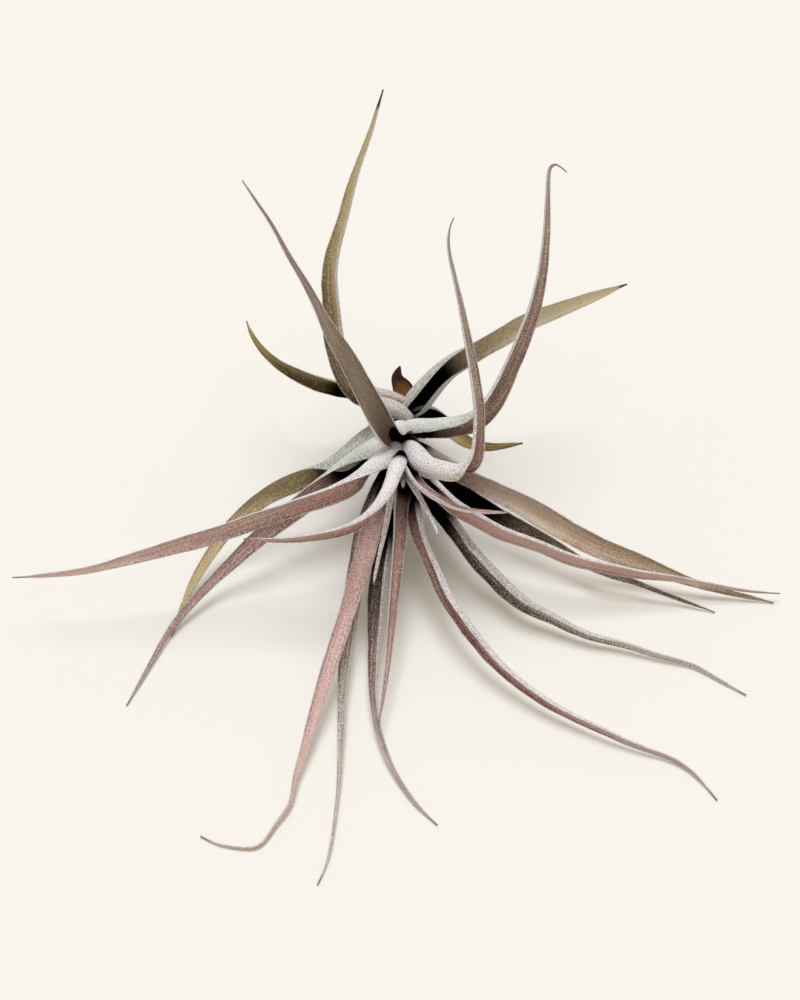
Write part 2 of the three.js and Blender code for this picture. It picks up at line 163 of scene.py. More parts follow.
class Brush:
    """Adds nodes to one material and joins them, so that a finish reads as a recipe."""

    # The mixing node's sockets go by number, because their names repeat
    SHARE = 0
    FIRST_LEVEL = 2
    SECOND_LEVEL = 3
    MIXED_LEVEL = 0
    FIRST_COLOUR = 6
    SECOND_COLOUR = 7
    MIXED_COLOUR = 2

    def __init__(self, name: str) -> None:
        """Starts a material.

        Args:
            name: The material's name.
        """
        self.material = bpy.data.materials.new(name)
        self.material.use_nodes = True
        self.tree = self.material.node_tree
        self.shader = self.tree.nodes["Principled BSDF"]

    def node(self, kind: str, inputs: dict[Any, Any], **settings: Any) -> bpy.types.Node:
        """Adds a node.

        Args:
            kind: The node's type.
            inputs: Each input's name or number, with a value or the output that feeds it.
            settings: The node's other settings.

        Returns:
            The node.
        """
        node = self.tree.nodes.new(kind)
        for name, value in settings.items():
            setattr(node, name, value)
        for name, value in inputs.items():
            self.feed(node.inputs[name], value)
        return node

    def feed(self, socket: Socket, value: Any) -> None:
        """Joins an output to a socket, or sets the socket's own value.

        Args:
            socket: The input.
            value: An output, a tone, a number or a row of numbers.
        """
        if isinstance(value, bpy.types.NodeSocket):
            self.tree.links.new(value, socket)
        else:
            socket.default_value = value.rgba if isinstance(value, Tone) else value

    def attribute(self, name: str, output: str = "Fac") -> Socket:
        """Reads one of the piece's own attributes."""
        return self.node("ShaderNodeAttribute", {}, attribute_name=name).outputs[output]

    def sum(self, operation: str, *values: Any) -> Socket:
        """Works out one number.

        Args:
            operation: What is done.
            values: Up to three numbers, or outputs that give them.

        Returns:
            The number.
        """
        inputs = dict(enumerate(values))
        return self.node("ShaderNodeMath", inputs, operation=operation).outputs[0]

    def noise(self, vector: Socket, cloud: Cloud) -> Socket:
        """Lays a cloudy pattern on a coordinate.

        Args:
            vector: The coordinate, with the piece's length as its second number.
            cloud: The pattern.

        Returns:
            The pattern's level.
        """
        inputs = {"Vector": vector, "Scale": (1, cloud.along, 1), "Location": (cloud.shift, 0, 0)}
        drawn_out = self.node("ShaderNodeMapping", inputs).outputs[0]
        inputs = {"Vector": drawn_out, "Scale": cloud.scale, "Detail": cloud.detail}
        pattern = self.node("ShaderNodeTexNoise", {**inputs, "Roughness": cloud.roughness})
        return pattern.outputs["Fac"]

    def cells(self, vector: Socket, scale: float) -> tuple[Socket, Socket]:
        """A pattern of cells.

        Args:
            vector: The coordinate that it lies on.
            scale: Its cells in a metre.

        Returns:
            A random level for each cell, and the distance from its middle.
        """
        pattern = self.node("ShaderNodeTexVoronoi", {"Vector": vector, "Scale": scale})
        level = self.node("ShaderNodeSeparateColor", {"Color": pattern.outputs["Color"]}).outputs["Red"]
        return level, pattern.outputs["Distance"]

    def step(self, value: Socket, step: Step) -> Socket:
        """Turns a measured value into a level.

        Args:
            value: What is measured.
            step: Where the level changes, and from what to what.

        Returns:
            The level.
        """
        inputs = {"Value": value, "From Min": step.start, "From Max": step.stop}
        inputs |= {"To Min": step.before, "To Max": step.after}
        return self.node("ShaderNodeMapRange", inputs, interpolation_type="SMOOTHSTEP").outputs[0]

    def mix(self, share: Socket, first: Socket, second: Socket) -> Socket:
        """Mixes two levels.

        Args:
            share: How much of the second level there is.
            first: The first level.
            second: The second level.

        Returns:
            The mixed level.
        """
        inputs = {self.SHARE: share, self.FIRST_LEVEL: first, self.SECOND_LEVEL: second}
        return self.node("ShaderNodeMix", inputs, data_type="FLOAT").outputs[self.MIXED_LEVEL]

    def blend(self, share: Any, first: Any, second: Any, mode: str = "MIX") -> Socket:
        """Mixes two colours.

        Args:
            share: How much of the second colour there is.
            first: The first colour.
            second: The second colour.
            mode: The way of mixing.

        Returns:
            The mixed colour.
        """
        inputs = {self.SHARE: share, self.FIRST_COLOUR: first, self.SECOND_COLOUR: second}
        settings = {"data_type": "RGBA", "blend_type": mode, "clamp_factor": True}
        return self.node("ShaderNodeMix", inputs, **settings).outputs[self.MIXED_COLOUR]

    def ramp(self, value: Socket, tones: tuple[Tone, ...]) -> Socket:
        """A run of colours, evenly spaced from 0 to 1.

        Args:
            value: Where along the run each point is.
            tones: The colours.

        Returns:
            The colour.
        """
        node = self.node("ShaderNodeValToRGB", {"Fac": value})
        elements = node.color_ramp.elements
        for index in range(1, len(tones) - 1):
            elements.new(index / (len(tones) - 1))
        for element, tone in zip(elements, tones):
            element.color = tone.rgba
        return node.outputs["Color"]

    def bump(self, height: Socket, depth: float) -> None:
        """Raises the surface by a pattern.

        Args:
            height: The pattern.
            depth: Its depth, in metres.
        """
        node = self.node("ShaderNodeBump", {"Height": height, "Distance": depth, "Strength": 1.0})
        self.feed(self.shader.inputs["Normal"], node.outputs[0])


@dataclass(frozen=True)
class LeafSkin:
    """What is measured and drawn at each point of a leaf's skin.

    Attributes:
        along: Share of the way from base to tip.
        inside: 1 on the inside of the channel and 0 on the outside.
        place: Place across the blade, from -1 at one margin to 1 at the other.
        across: The same without its sign.
        mottle: Soft blotches.
        streak: Fine streaks along the leaf.
        vein: Longer streaks.
        clump: Clumps of scales.
        cell: A random level for each scale.
        from_cell: Distance from the scale's middle.
    """

    along: Socket
    inside: Socket
    place: Socket
    across: Socket
    mottle: Socket
    streak: Socket
    vein: Socket
    clump: Socket
    cell: Socket
    from_cell: Socket


@dataclass(frozen=True)
class LeafFinish:
    """The skin of a leaf: its pigment, and the coat of fine pale scales over it.

    The scales lie thick on the outside of the blade and at its base. The inside shows its colour.

    Attributes:
        inner: The colours of the inside of the channel, evenly spread from base to tip.
        outer: The colours of the outside, evenly spread from base to tip.
        scales: The colour of the scales on the outside.
        bloom: The colour of the few scales on the inside.
        middle: The tint along the middle of the channel.
        middle_at: Where that tint is strongest, from -1 at one margin to 1 at the other. On the
        tall back and back left leaves it is set toward a margin as a painted highlight.
        middle_tint: How strong it is there, from 0 to 1.
        tip: The colour of the dry tip.
        tip_from: Share of the way from base to tip where the dry tip starts.
        inner_cover: Share of the inside that scales whiten, at the base and at the tip.
        outer_cover: The same for the outside.
    """

    inner: tuple[Tone, ...]
    outer: tuple[Tone, ...]
    scales: Tone = Tone.FROST
    bloom: Tone = Tone.PETAL
    middle: Tone = Tone.BLUSH
    middle_at: float = 0.0
    middle_tint: float = 0.3
    tip: Tone = Tone.PEWTER
    tip_from: float = 0.97
    inner_cover: tuple[float, float] = (0.22, 0.36)
    outer_cover: tuple[float, float] = (0.94, 0.74)

    MOTTLE = Cloud(210, 3, along=0.35)
    STREAK = Cloud(1500, 2, 0.6, along=0.05)
    VEIN = Cloud(1100, 2, 0.6, along=0.03, shift=0.1)
    CLUMP = Cloud(1800, 3, 0.75)
    CELL_SCALE = 2700

    # Pigment: how far its colours wander, how broad the middle's tint is, and what darkens it, with
    # painted shade near the rims
    WANDER = 0.16
    MIDDLE_BREADTH = 0.7
    STREAKS = Step(0.32, 0.6, 0.2, 0)
    MOTTLES = Step(0.6, 0.4, 0, 0.12)
    RIM_SHADE = Step(0.45, 0.95, 0, 0.6)
    RIM_SHADE_STREAKS = Step(0.68, 0.38)

    # Coat of scales: how clumps, single scales and veins part it, more sharply on the inside
    CLUMPS = Step(0.32, 0.68)
    CLUMP_SHARE = 0.7
    CELL_SHARE = 0.55
    PATTERN_SHIFT = -0.62
    VEINS = Step(0.45, 0.75, -0.08, 0.28)
    CONTRAST = Step(0, 1, 1.1, 1.6)
    # Painted shade: less white toward the margins, so the edges of the rounded blade are darker
    EDGE_SHADE = Step(0.45, 1, 0, 0.14)

    # Pale line of the margin, dry tip, and painted shade at the base
    MARGIN = Step(0.94, 0.99)
    MARGIN_CLUMPS = Step(0.2, 0.6, 0.3, 0.85)
    TIP_FADE = 0.02
    SHADE_CLUMPS = 0.15
    BASE_SHADE = Step(0.1, 0.9)

    # Shine, by the coat's thickness, and taken off where the base is painted black as shade
    ROUGHNESS = Step(0, 0.8, 0.6, 0.85)
    GLOSS = Step(0, 1, 0.3, 0.02)
    SHEEN = Step(0, 1, 0.12, 0)
    SHEEN_ROUGHNESS = 0.5

    # Relief: its parts, and its whole depth in metres
    STREAK_RELIEF = 0.7
    CELL_RELIEF = -0.6
    COAT_RELIEF = 0.4
    RELIEF = 0.00012

    def measure(self, brush: Brush) -> LeafSkin:
        """Reads the leaf's own coordinates and lays its patterns on them.

        Args:
            brush: The material that is being made.

        Returns:
            What is measured and drawn.
        """
        grain = brush.attribute("grain", "Vector")
        place = brush.attribute("across")
        cell, from_cell = brush.cells(grain, self.CELL_SCALE)
        return LeafSkin(
            along=brush.attribute("along"),
            inside=brush.attribute("inside"),
            place=place,
            across=brush.sum("ABSOLUTE", place),
            mottle=brush.noise(grain, self.MOTTLE),
            streak=brush.noise(grain, self.STREAK),
            vein=brush.noise(grain, self.VEIN),
            clump=brush.step(brush.noise(grain, self.CLUMP), self.CLUMPS),
            cell=cell,
            from_cell=from_cell,
        )

    def pigment(self, brush: Brush, skin: LeafSkin) -> Socket:
        """The colour under the scales.

        It follows the leaf from base to tip and wanders with the blotches. The middle of the
        channel is tinted. Streaks and blotches are darker, and painted shade darkens the inside
        near the rims of the channel.

        Args:
            brush: The material that is being made.
            skin: What is measured and drawn.

        Returns:
            The colour.
        """
        centred = brush.sum("SUBTRACT", skin.along, self.WANDER / 2)
        wander = brush.sum("MULTIPLY_ADD", skin.mottle, self.WANDER, centred)
        from_middle = brush.sum("ABSOLUTE", brush.sum("SUBTRACT", skin.place, self.middle_at))
        tint = brush.step(from_middle, Step(self.MIDDLE_BREADTH, 0, 0, self.middle_tint))
        inner = brush.blend(tint, brush.ramp(wander, self.inner), self.middle)
        colour = brush.blend(skin.inside, brush.ramp(wander, self.outer), inner)
        colour = brush.blend(brush.step(skin.streak, self.STREAKS), colour, Tone.COCOA, "MULTIPLY")
        colour = brush.blend(brush.step(skin.mottle, self.MOTTLES), colour, Tone.TAUPE, "MULTIPLY")
        # Painted shade: the inside darkens toward the rims of the channel, broken by the streaks
        rim_shade = brush.sum("MULTIPLY", skin.inside, brush.step(skin.across, self.RIM_SHADE))
        rim_shade = brush.sum("MULTIPLY", rim_shade, brush.step(skin.streak, self.RIM_SHADE_STREAKS))
        return brush.blend(rim_shade, colour, Tone.COCOA, "MULTIPLY")

    def coat(self, brush: Brush, skin: LeafSkin) -> Socket:
        """How much the scales whiten each point.

        Each face is covered by its own share at the base and at the tip, and less toward the
        margins, which paints shade along the edges of the rounded blade. The pattern of clumps,
        single scales and veins, times the contrast, is added to that.

        Args:
            brush: The material that is being made.
            skin: What is measured and drawn.

        Returns:
            The share of white.
        """
        inner = brush.step(skin.along, Step(0, 1, *self.inner_cover))
        outer = brush.step(skin.along, Step(0, 1, *self.outer_cover))
        cover = brush.mix(skin.inside, outer, inner)
        cover = brush.sum("SUBTRACT", cover, brush.step(skin.across, self.EDGE_SHADE))
        pattern = brush.sum("MULTIPLY_ADD", skin.clump, self.CLUMP_SHARE, self.PATTERN_SHIFT)
        pattern = brush.sum("MULTIPLY_ADD", skin.cell, self.CELL_SHARE, pattern)
        pattern = brush.sum("ADD", pattern, brush.step(skin.vein, self.VEINS))
        return brush.sum("MULTIPLY_ADD", pattern, brush.step(skin.inside, self.CONTRAST), cover)

    def material(self, name: str) -> bpy.types.Material:
        """Makes the material.

        Scales about 0.4 mm across, in clumps of about 0.6 mm, whiten the pigment, most of all on
        the outside. A thin pale line follows each margin, the tip is dry, and the base is painted
        near black as the deep shade of the crown.

        Args:
            name: The material's name.

        Returns:
            The material.
        """
        brush = Brush(name)
        skin = self.measure(brush)
        coat = self.coat(brush, skin)
        # Painted shade: the base mark, broken by clumps, paints the deep shade of the crown near black
        # and takes the shine off it
        base = brush.sum("MULTIPLY_ADD", skin.clump, self.SHADE_CLUMPS, brush.attribute("base"))
        base = brush.step(base, self.BASE_SHADE)

        white = brush.blend(skin.inside, self.scales, self.bloom)
        colour = brush.blend(coat, self.pigment(brush, skin), white)
        margin = brush.step(skin.across, self.MARGIN)
        margin = brush.sum("MULTIPLY", margin, brush.step(skin.clump, self.MARGIN_CLUMPS))
        colour = brush.blend(margin, colour, self.scales)
        tip = brush.step(skin.along, Step(self.tip_from, self.tip_from + self.TIP_FADE))
        colour = brush.blend(tip, colour, self.tip)
        brush.feed(brush.shader.inputs["Base Color"], brush.blend(base, colour, Tone.BLACK))

        brush.feed(brush.shader.inputs["Roughness"], brush.step(coat, self.ROUGHNESS))
        brush.feed(brush.shader.inputs["Specular IOR Level"], brush.step(base, self.GLOSS))
        brush.feed(brush.shader.inputs["Sheen Weight"], brush.step(base, self.SHEEN))
        brush.shader.inputs["Sheen Roughness"].default_value = self.SHEEN_ROUGHNESS

        domes = brush.sum("MULTIPLY", skin.from_cell, self.CELL_RELIEF)
        relief = brush.sum("MULTIPLY_ADD", skin.streak, self.STREAK_RELIEF, domes)
        relief = brush.sum("MULTIPLY_ADD", coat, self.COAT_RELIEF, relief)
        brush.bump(relief, self.RELIEF)
        return brush.material


@dataclass(frozen=True)
class DriedFinish:
    """The skin of a dead sheath: thin, papery and fibrous, dark at its edges and amber within.

    Attributes:
        edge: The colour of the edges and the tip.
        middle: The colour within.
    """

    edge: Tone = Tone.CHESTNUT
    middle: Tone = Tone.AMBER

    FIBRE = Cloud(1600, 3, 0.65, along=0.05)
    BLOTCH = Cloud(330, 4, 0.6)
    BLOTCH_SHARE = 0.7
    EDGE = Step(0.5, 1)
    TIP = Step(0.3, 0.9)
    EDGE_SHIFT = 0.3
    DARKNESS = Step(0.05, 0.75)
    FIBRES = Step(0.35, 0.65, 0.5, 0)
    ROUGHNESS = Step(0.2, 0.8, 0.45, 0.75)
    RELIEF = 0.0002

    def material(self, name: str) -> bpy.types.Material:
        """Makes the material: fibres along the sheath, blotches, and a darker edge and tip.

        Args:
            name: The material's name.

        Returns:
            The material.
        """
        brush = Brush(name)
        grain = brush.attribute("grain", "Vector")
        along = brush.attribute("along")
        across = brush.sum("ABSOLUTE", brush.attribute("across"))
        fibre = brush.noise(grain, self.FIBRE)
        blotch = brush.noise(grain, self.BLOTCH)
        edge = brush.sum("MAXIMUM", brush.step(across, self.EDGE), brush.step(along, self.TIP))
        edge = brush.sum("SUBTRACT", edge, self.EDGE_SHIFT)
        darkness = brush.step(brush.sum("MULTIPLY_ADD", blotch, self.BLOTCH_SHARE, edge), self.DARKNESS)
        colour = brush.blend(darkness, self.middle, self.edge)
        colour = brush.blend(brush.step(fibre, self.FIBRES), colour, Tone.UMBER, "MULTIPLY")
        brush.feed(brush.shader.inputs["Base Color"], colour)
        brush.feed(brush.shader.inputs["Roughness"], brush.step(fibre, self.ROUGHNESS))
        brush.bump(brush.sum("ADD", fibre, blotch), self.RELIEF)
        return brush.material


@dataclass(frozen=True)
class BarkFinish:
    """The skin of the stem: brown and fibrous, with grey scurf left in its hollows.

    Attributes:
        fibres: The colours of the fibres, from the deepest to the highest.
        scurf: The colour of the scurf.
    """

    fibres: tuple[Tone, ...] = (Tone.BLACK, Tone.UMBER, Tone.BARK, Tone.STRAW)
    scurf: Tone = Tone.PEWTER

    FIBRE = Cloud(1500, 4, 0.65, along=0.12)
    CLOUD = Cloud(420, 5, 0.65)
    SCURF = Step(0.5, 0.68, 0, 0.6)
    ROUGHNESS = 0.9
    RELIEF = 0.0005

    def material(self, name: str) -> bpy.types.Material:
        """Makes the material: fibres along the stem, and pale scurf by a cloudy pattern.

        Args:
            name: The material's name.

        Returns:
            The material.
        """
        brush = Brush(name)
        grain = brush.attribute("grain", "Vector")
        fibre = brush.noise(grain, self.FIBRE)
        cloud = brush.noise(grain, self.CLOUD)
        colour = brush.blend(brush.step(cloud, self.SCURF), brush.ramp(fibre, self.fibres), self.scurf)
        brush.feed(brush.shader.inputs["Base Color"], colour)
        brush.shader.inputs["Roughness"].default_value = self.ROUGHNESS
        brush.bump(brush.sum("ADD", fibre, cloud), self.RELIEF)
        return brush.material


def spread(values: Any, share: Array) -> Array:
    """Values from a list that is spread evenly from share 0 to share 1.

    Between two entries the value moves straight from one to the other.

    Args:
        values: A list of numbers, or of rows of numbers.
        share: Where the values are wanted.

    Returns:
        One value, or one row, for each share.
    """
    rows = np.atleast_2d(np.array(values, float).T).T
    knots = np.linspace(0, 1, len(rows))
    columns = [np.interp(share, knots, column) for column in rows.T]
    return columns[0] if len(columns) == 1 else np.stack(columns, 1)


def spread_rows(rows: Any, share: Array) -> Array:
    """The same for a list of directions, also where it has only one.

    Args:
        rows: The directions.
        share: Where they are wanted.

    Returns:
        One direction for each share.
    """
    if len(rows) > 1:
        return spread(rows, share)
    return np.repeat(np.array(rows, float), len(share), 0)


def smooth_step(value: Array, low: float, high: float) -> Array:
    """A smooth step from 0 at low to 1 at high: three squares less two cubes of the share."""
    share = np.clip((value - low) / (high - low), 0, 1)
    return share * share * (3 - 2 * share)


def unit(vectors: Array) -> Array:
    """The same directions with length 1."""
    return vectors / np.linalg.norm(vectors, axis=1, keepdims=True)


def waves(length: Array, rng: np.random.Generator, longest: float) -> Array:
    """A gentle, never quite repeating wave along a length, between about -1 and 1.

    It is a sum of sines. Each is shorter and weaker than the last, and starts anywhere.

    Args:
        length: Distance along the piece.
        rng: The source of its random starts.
        longest: The longest wavelength, in the same unit.

    Returns:
        The wave at each distance.
    """
    total = np.zeros_like(length)
    for order in range(WAVE_SINES):
        stretch = longest / WAVE_SHORTER**order * rng.uniform(*WAVE_UNSURE)
        total += np.sin(2 * np.pi * (length / stretch + rng.uniform())) / WAVE_WEAKER**order
    return total / WAVE_PEAK


def make_piece(name: str, points: Array, faces: Faces, marks: Marks) -> bpy.types.Object:
    """Makes one mesh object, smooth, at the origin.

    Args:
        name: The piece's name.
        points: Its corners, in metres.
        faces: Its faces, as rows of corner numbers.
        marks: Named values at the corners that its material reads.

    Returns:
        The object, in the scene.
    """
    mesh = bpy.data.meshes.new(name)
    mesh.from_pydata(points.tolist(), [], faces)
    mesh.polygons.foreach_set("use_smooth", np.ones(len(mesh.polygons), bool))
    for key, values in marks.items():
        kind, field = ("FLOAT", "value") if values.ndim == 1 else ("FLOAT_VECTOR", "vector")
        attribute = mesh.attributes.new(key, kind, "POINT")
        attribute.data.foreach_set(field, values.astype(np.float32).ravel())
    mesh.update()
    piece = bpy.data.objects.new(name, mesh)
    bpy.context.scene.collection.objects.link(piece)
    return piece


class Route:
    """A smooth path through given points, measured by its own length.

    Between two points it is a cubic whose slope at each is half the step between its two
    neighbours. Beyond each end stands a mirrored point. The path is then evened out with a bell
    curve, because a leaf has no sudden bends.
    """

    # Samples from one point to the next, and the least width of the bell curve, in millimetres
    SAMPLES = 40
    LEAST_WIDTH = 1e-6

    def __init__(self, points: tuple[Point, ...], evening: float) -> None:
        """Works out the path.

        Args:
            points: The points that it passes, in millimetres.
            evening: The width of the bell curve, in millimetres.
        """
        knots = np.array(points, float)
        knots = np.vstack([2 * knots[0] - knots[1], knots, 2 * knots[-1] - knots[-2]])
        t = np.linspace(0, 1, self.SAMPLES, endpoint=False)[:, None]
        before, start, end, after = knots[:-3], knots[1:-2], knots[2:-1], knots[3:]
        pieces = [
            self._cubic(t, start[i], end[i], (end[i] - before[i]) / 2, (after[i] - start[i]) / 2)
            for i in range(len(start))
        ]
        places = np.vstack([*pieces, knots[-2:-1]])
        self.distance = self._measured(places)
        self.length = float(self.distance[-1])
        even = np.linspace(0, self.length, len(places))
        places = np.stack([np.interp(even, self.distance, column) for column in places.T], 1)
        self.distance = even
        self.places = self._evened(places, even, evening)

    @staticmethod
    def _cubic(t: Array, start: Array, end: Array, leave: Array, arrive: Array) -> Array:
        """A cubic from start to end that leaves and arrives with the given slopes.

        Args:
            t: Shares of the way, from 0 to 1.
            start: The point where it starts.
            end: The point where it ends.
            leave: Its slope at the start.
            arrive: Its slope at the end.

        Returns:
            The places.
        """
        cube, square = t**3, t**2
        begin = (2 * cube - 3 * square + 1) * start + (cube - 2 * square + t) * leave
        return begin + (3 * square - 2 * cube) * end + (cube - square) * arrive

    @staticmethod
    def _measured(places: Array) -> Array:
        """Distance along a line of places."""
        return np.concatenate([[0], np.cumsum(np.linalg.norm(np.diff(places, axis=0), axis=1))])

    @staticmethod
    def _evened(places: Array, even: Array, width: float) -> Array:
        """Each place as a mean of those near it, which keeps both ends where they are.

        The weights follow a bell curve that narrows toward each end.

        Args:
            places: The places.
            even: Their distances along the path.
            width: The width of the bell curve, in the same unit.

        Returns:
            The evened places.
        """
        reach = np.minimum(np.minimum(even, even[-1] - even) / 2, width) + Route.LEAST_WIDTH
        weight = np.exp(-0.5 * ((even[:, None] - even[None, :]) / reach[:, None]) ** 2)
        return weight @ places / weight.sum(1, keepdims=True)

    def at(self, share: Array) -> tuple[Array, Array]:
        """Places and directions along the path.

        Args:
            share: Shares of its length.

        Returns:
            The places, in millimetres, and the directions of the path there.
        """
        slopes = np.gradient(self.places, self.distance, axis=0)
        wanted = share * self.length
        place = np.stack([np.interp(wanted, self.distance, column) for column in self.places.T], 1)
        slope = np.stack([np.interp(wanted, self.distance, column) for column in slopes.T], 1)
        return place, unit(slope)


@dataclass(frozen=True)
class Sheath:
    """How a leaf's base is rolled up.

    Attributes:
        opens: The way that the rolled base faces, as right, up and toward in the photograph.
        roll: Half the angle that it wraps, in degrees.
        unfurls: Distances from the stem, in millimetres, between which it unrolls into the blade.
    """

    opens: Point
    roll: float
    unfurls: tuple[float, float]


@dataclass(frozen=True)
class Fuzz:
    """The scales that stand off a blade: short flat spikes that lean toward its tip.

    Attributes:
        per_margin: Scales on each margin, for each millimetre of the leaf.
        per_face: Scales on the outside, for each millimetre of the leaf.
        scatter: How far those of a margin stray from it, in steps of the blade's outline.
        reach: The shortest and the longest, in millimetres.
        breadth: Half their width at the root, in millimetres.
        thickness: Half their thickness there, in millimetres.
        lean: How far they lie over toward the tip, from 0 to 1.
        disorder: How far they stray from that direction.
        span: Shares of the way from base to tip between which they grow.
        tapering: How much shorter they are at the tip, from 0 to 1.
        rooted: How deep they stand in the blade, in millimetres.
        floor_gap: Height above the surface below which none grows, in millimetres.
    """

    per_margin: float = 7.0
    per_face: float = 9.0
    scatter: float = 1.2
    reach: tuple[float, float] = (0.2, 0.5)
    breadth: float = 0.07
    thickness: float = 0.03
    lean: float = 0.55
    disorder: float = 0.15
    span: tuple[float, float] = (0.06, 0.98)
    tapering: float = 0.5
    rooted: float = 0.05
    floor_gap: float = 0.7

    # A spike's corners stand round its root at these angles, in degrees, and its point comes last
    CORNERS = (0, 120, 240)
    FACES = np.array([(0, 1, 3), (1, 2, 3), (2, 0, 3), (0, 2, 1)])

    def grow(
        self, blade: Array, marks: Marks, length: float, rng: np.random.Generator
    ) -> tuple[Array, Array, Marks]:
        """Grows the scales on a blade.

        Each is a spike on a flat triangle, with four faces. Its root is a random place on the
        blade's grid, and it points along the blade's own outward direction, leant over toward
        the tip.

        Args:
            blade: The blade's corners, ring by ring, in millimetres.
            marks: The marks at those corners.
            length: The blade's length, in millimetres.
            rng: The source of the random draws.

        Returns:
            The corners in millimetres, the faces, and the marks.
        """
        rings, around = blade.shape[:2]
        on_margin, on_face = round(self.per_margin * length), round(self.per_face * length)
        column = np.concatenate(
            [
                rng.normal(0, self.scatter, on_margin),
                rng.normal(around / 2, self.scatter, on_margin),
                rng.uniform(0, around / 2, on_face),
            ]
        )
        column = np.round(column).astype(int) % around
        share = rng.uniform(*self.span, len(column))
        ring = share * (rings - 1)
        before = np.floor(ring).astype(int)
        after_share = (ring - before)[:, None]

        toward_tip = unit(np.gradient(blade, axis=0).reshape(-1, 3)).reshape(blade.shape)
        round_it = np.roll(blade, -1, 1) - np.roll(blade, 1, 1)
        outward = unit(np.cross(toward_tip, round_it).reshape(-1, 3)).reshape(blade.shape)
        root = blade[before, column] * (1 - after_share) + blade[before + 1, column] * after_share
        out, tipward = outward[before, column], toward_tip[before, column]

        stray = rng.normal(0, self.disorder, root.shape)
        point = unit(out * (1 - self.lean) + tipward * self.lean + stray)
        flat = unit(np.cross(point, out))
        thin = np.cross(point, flat)
        size = (rng.uniform(*self.reach, len(root)) * (1 - self.tapering * share))[:, None]
        turn = np.radians(self.CORNERS)[:, None, None]
        foot = root - self.rooted * point
        corners = foot + self.breadth * np.cos(turn) * flat + self.thickness * np.sin(turn) * thin
        spikes = np.concatenate([corners, (root + size * point)[None]]).transpose(1, 0, 2)

        kept = spikes[:, :, 2].min(1) > self.floor_gap
        spikes = spikes[kept]
        corner = (before * around + column)[kept]
        per_spike = len(self.CORNERS) + 1
        faces = np.arange(len(spikes))[:, None, None] * per_spike + self.FACES
        grown = {key: np.repeat(values[corner], per_spike, 0) for key, values in marks.items()}
        grown["across"] = np.ones(len(spikes) * per_spike)
        return spikes.reshape(-1, 3), faces.reshape(-1, 3), grown


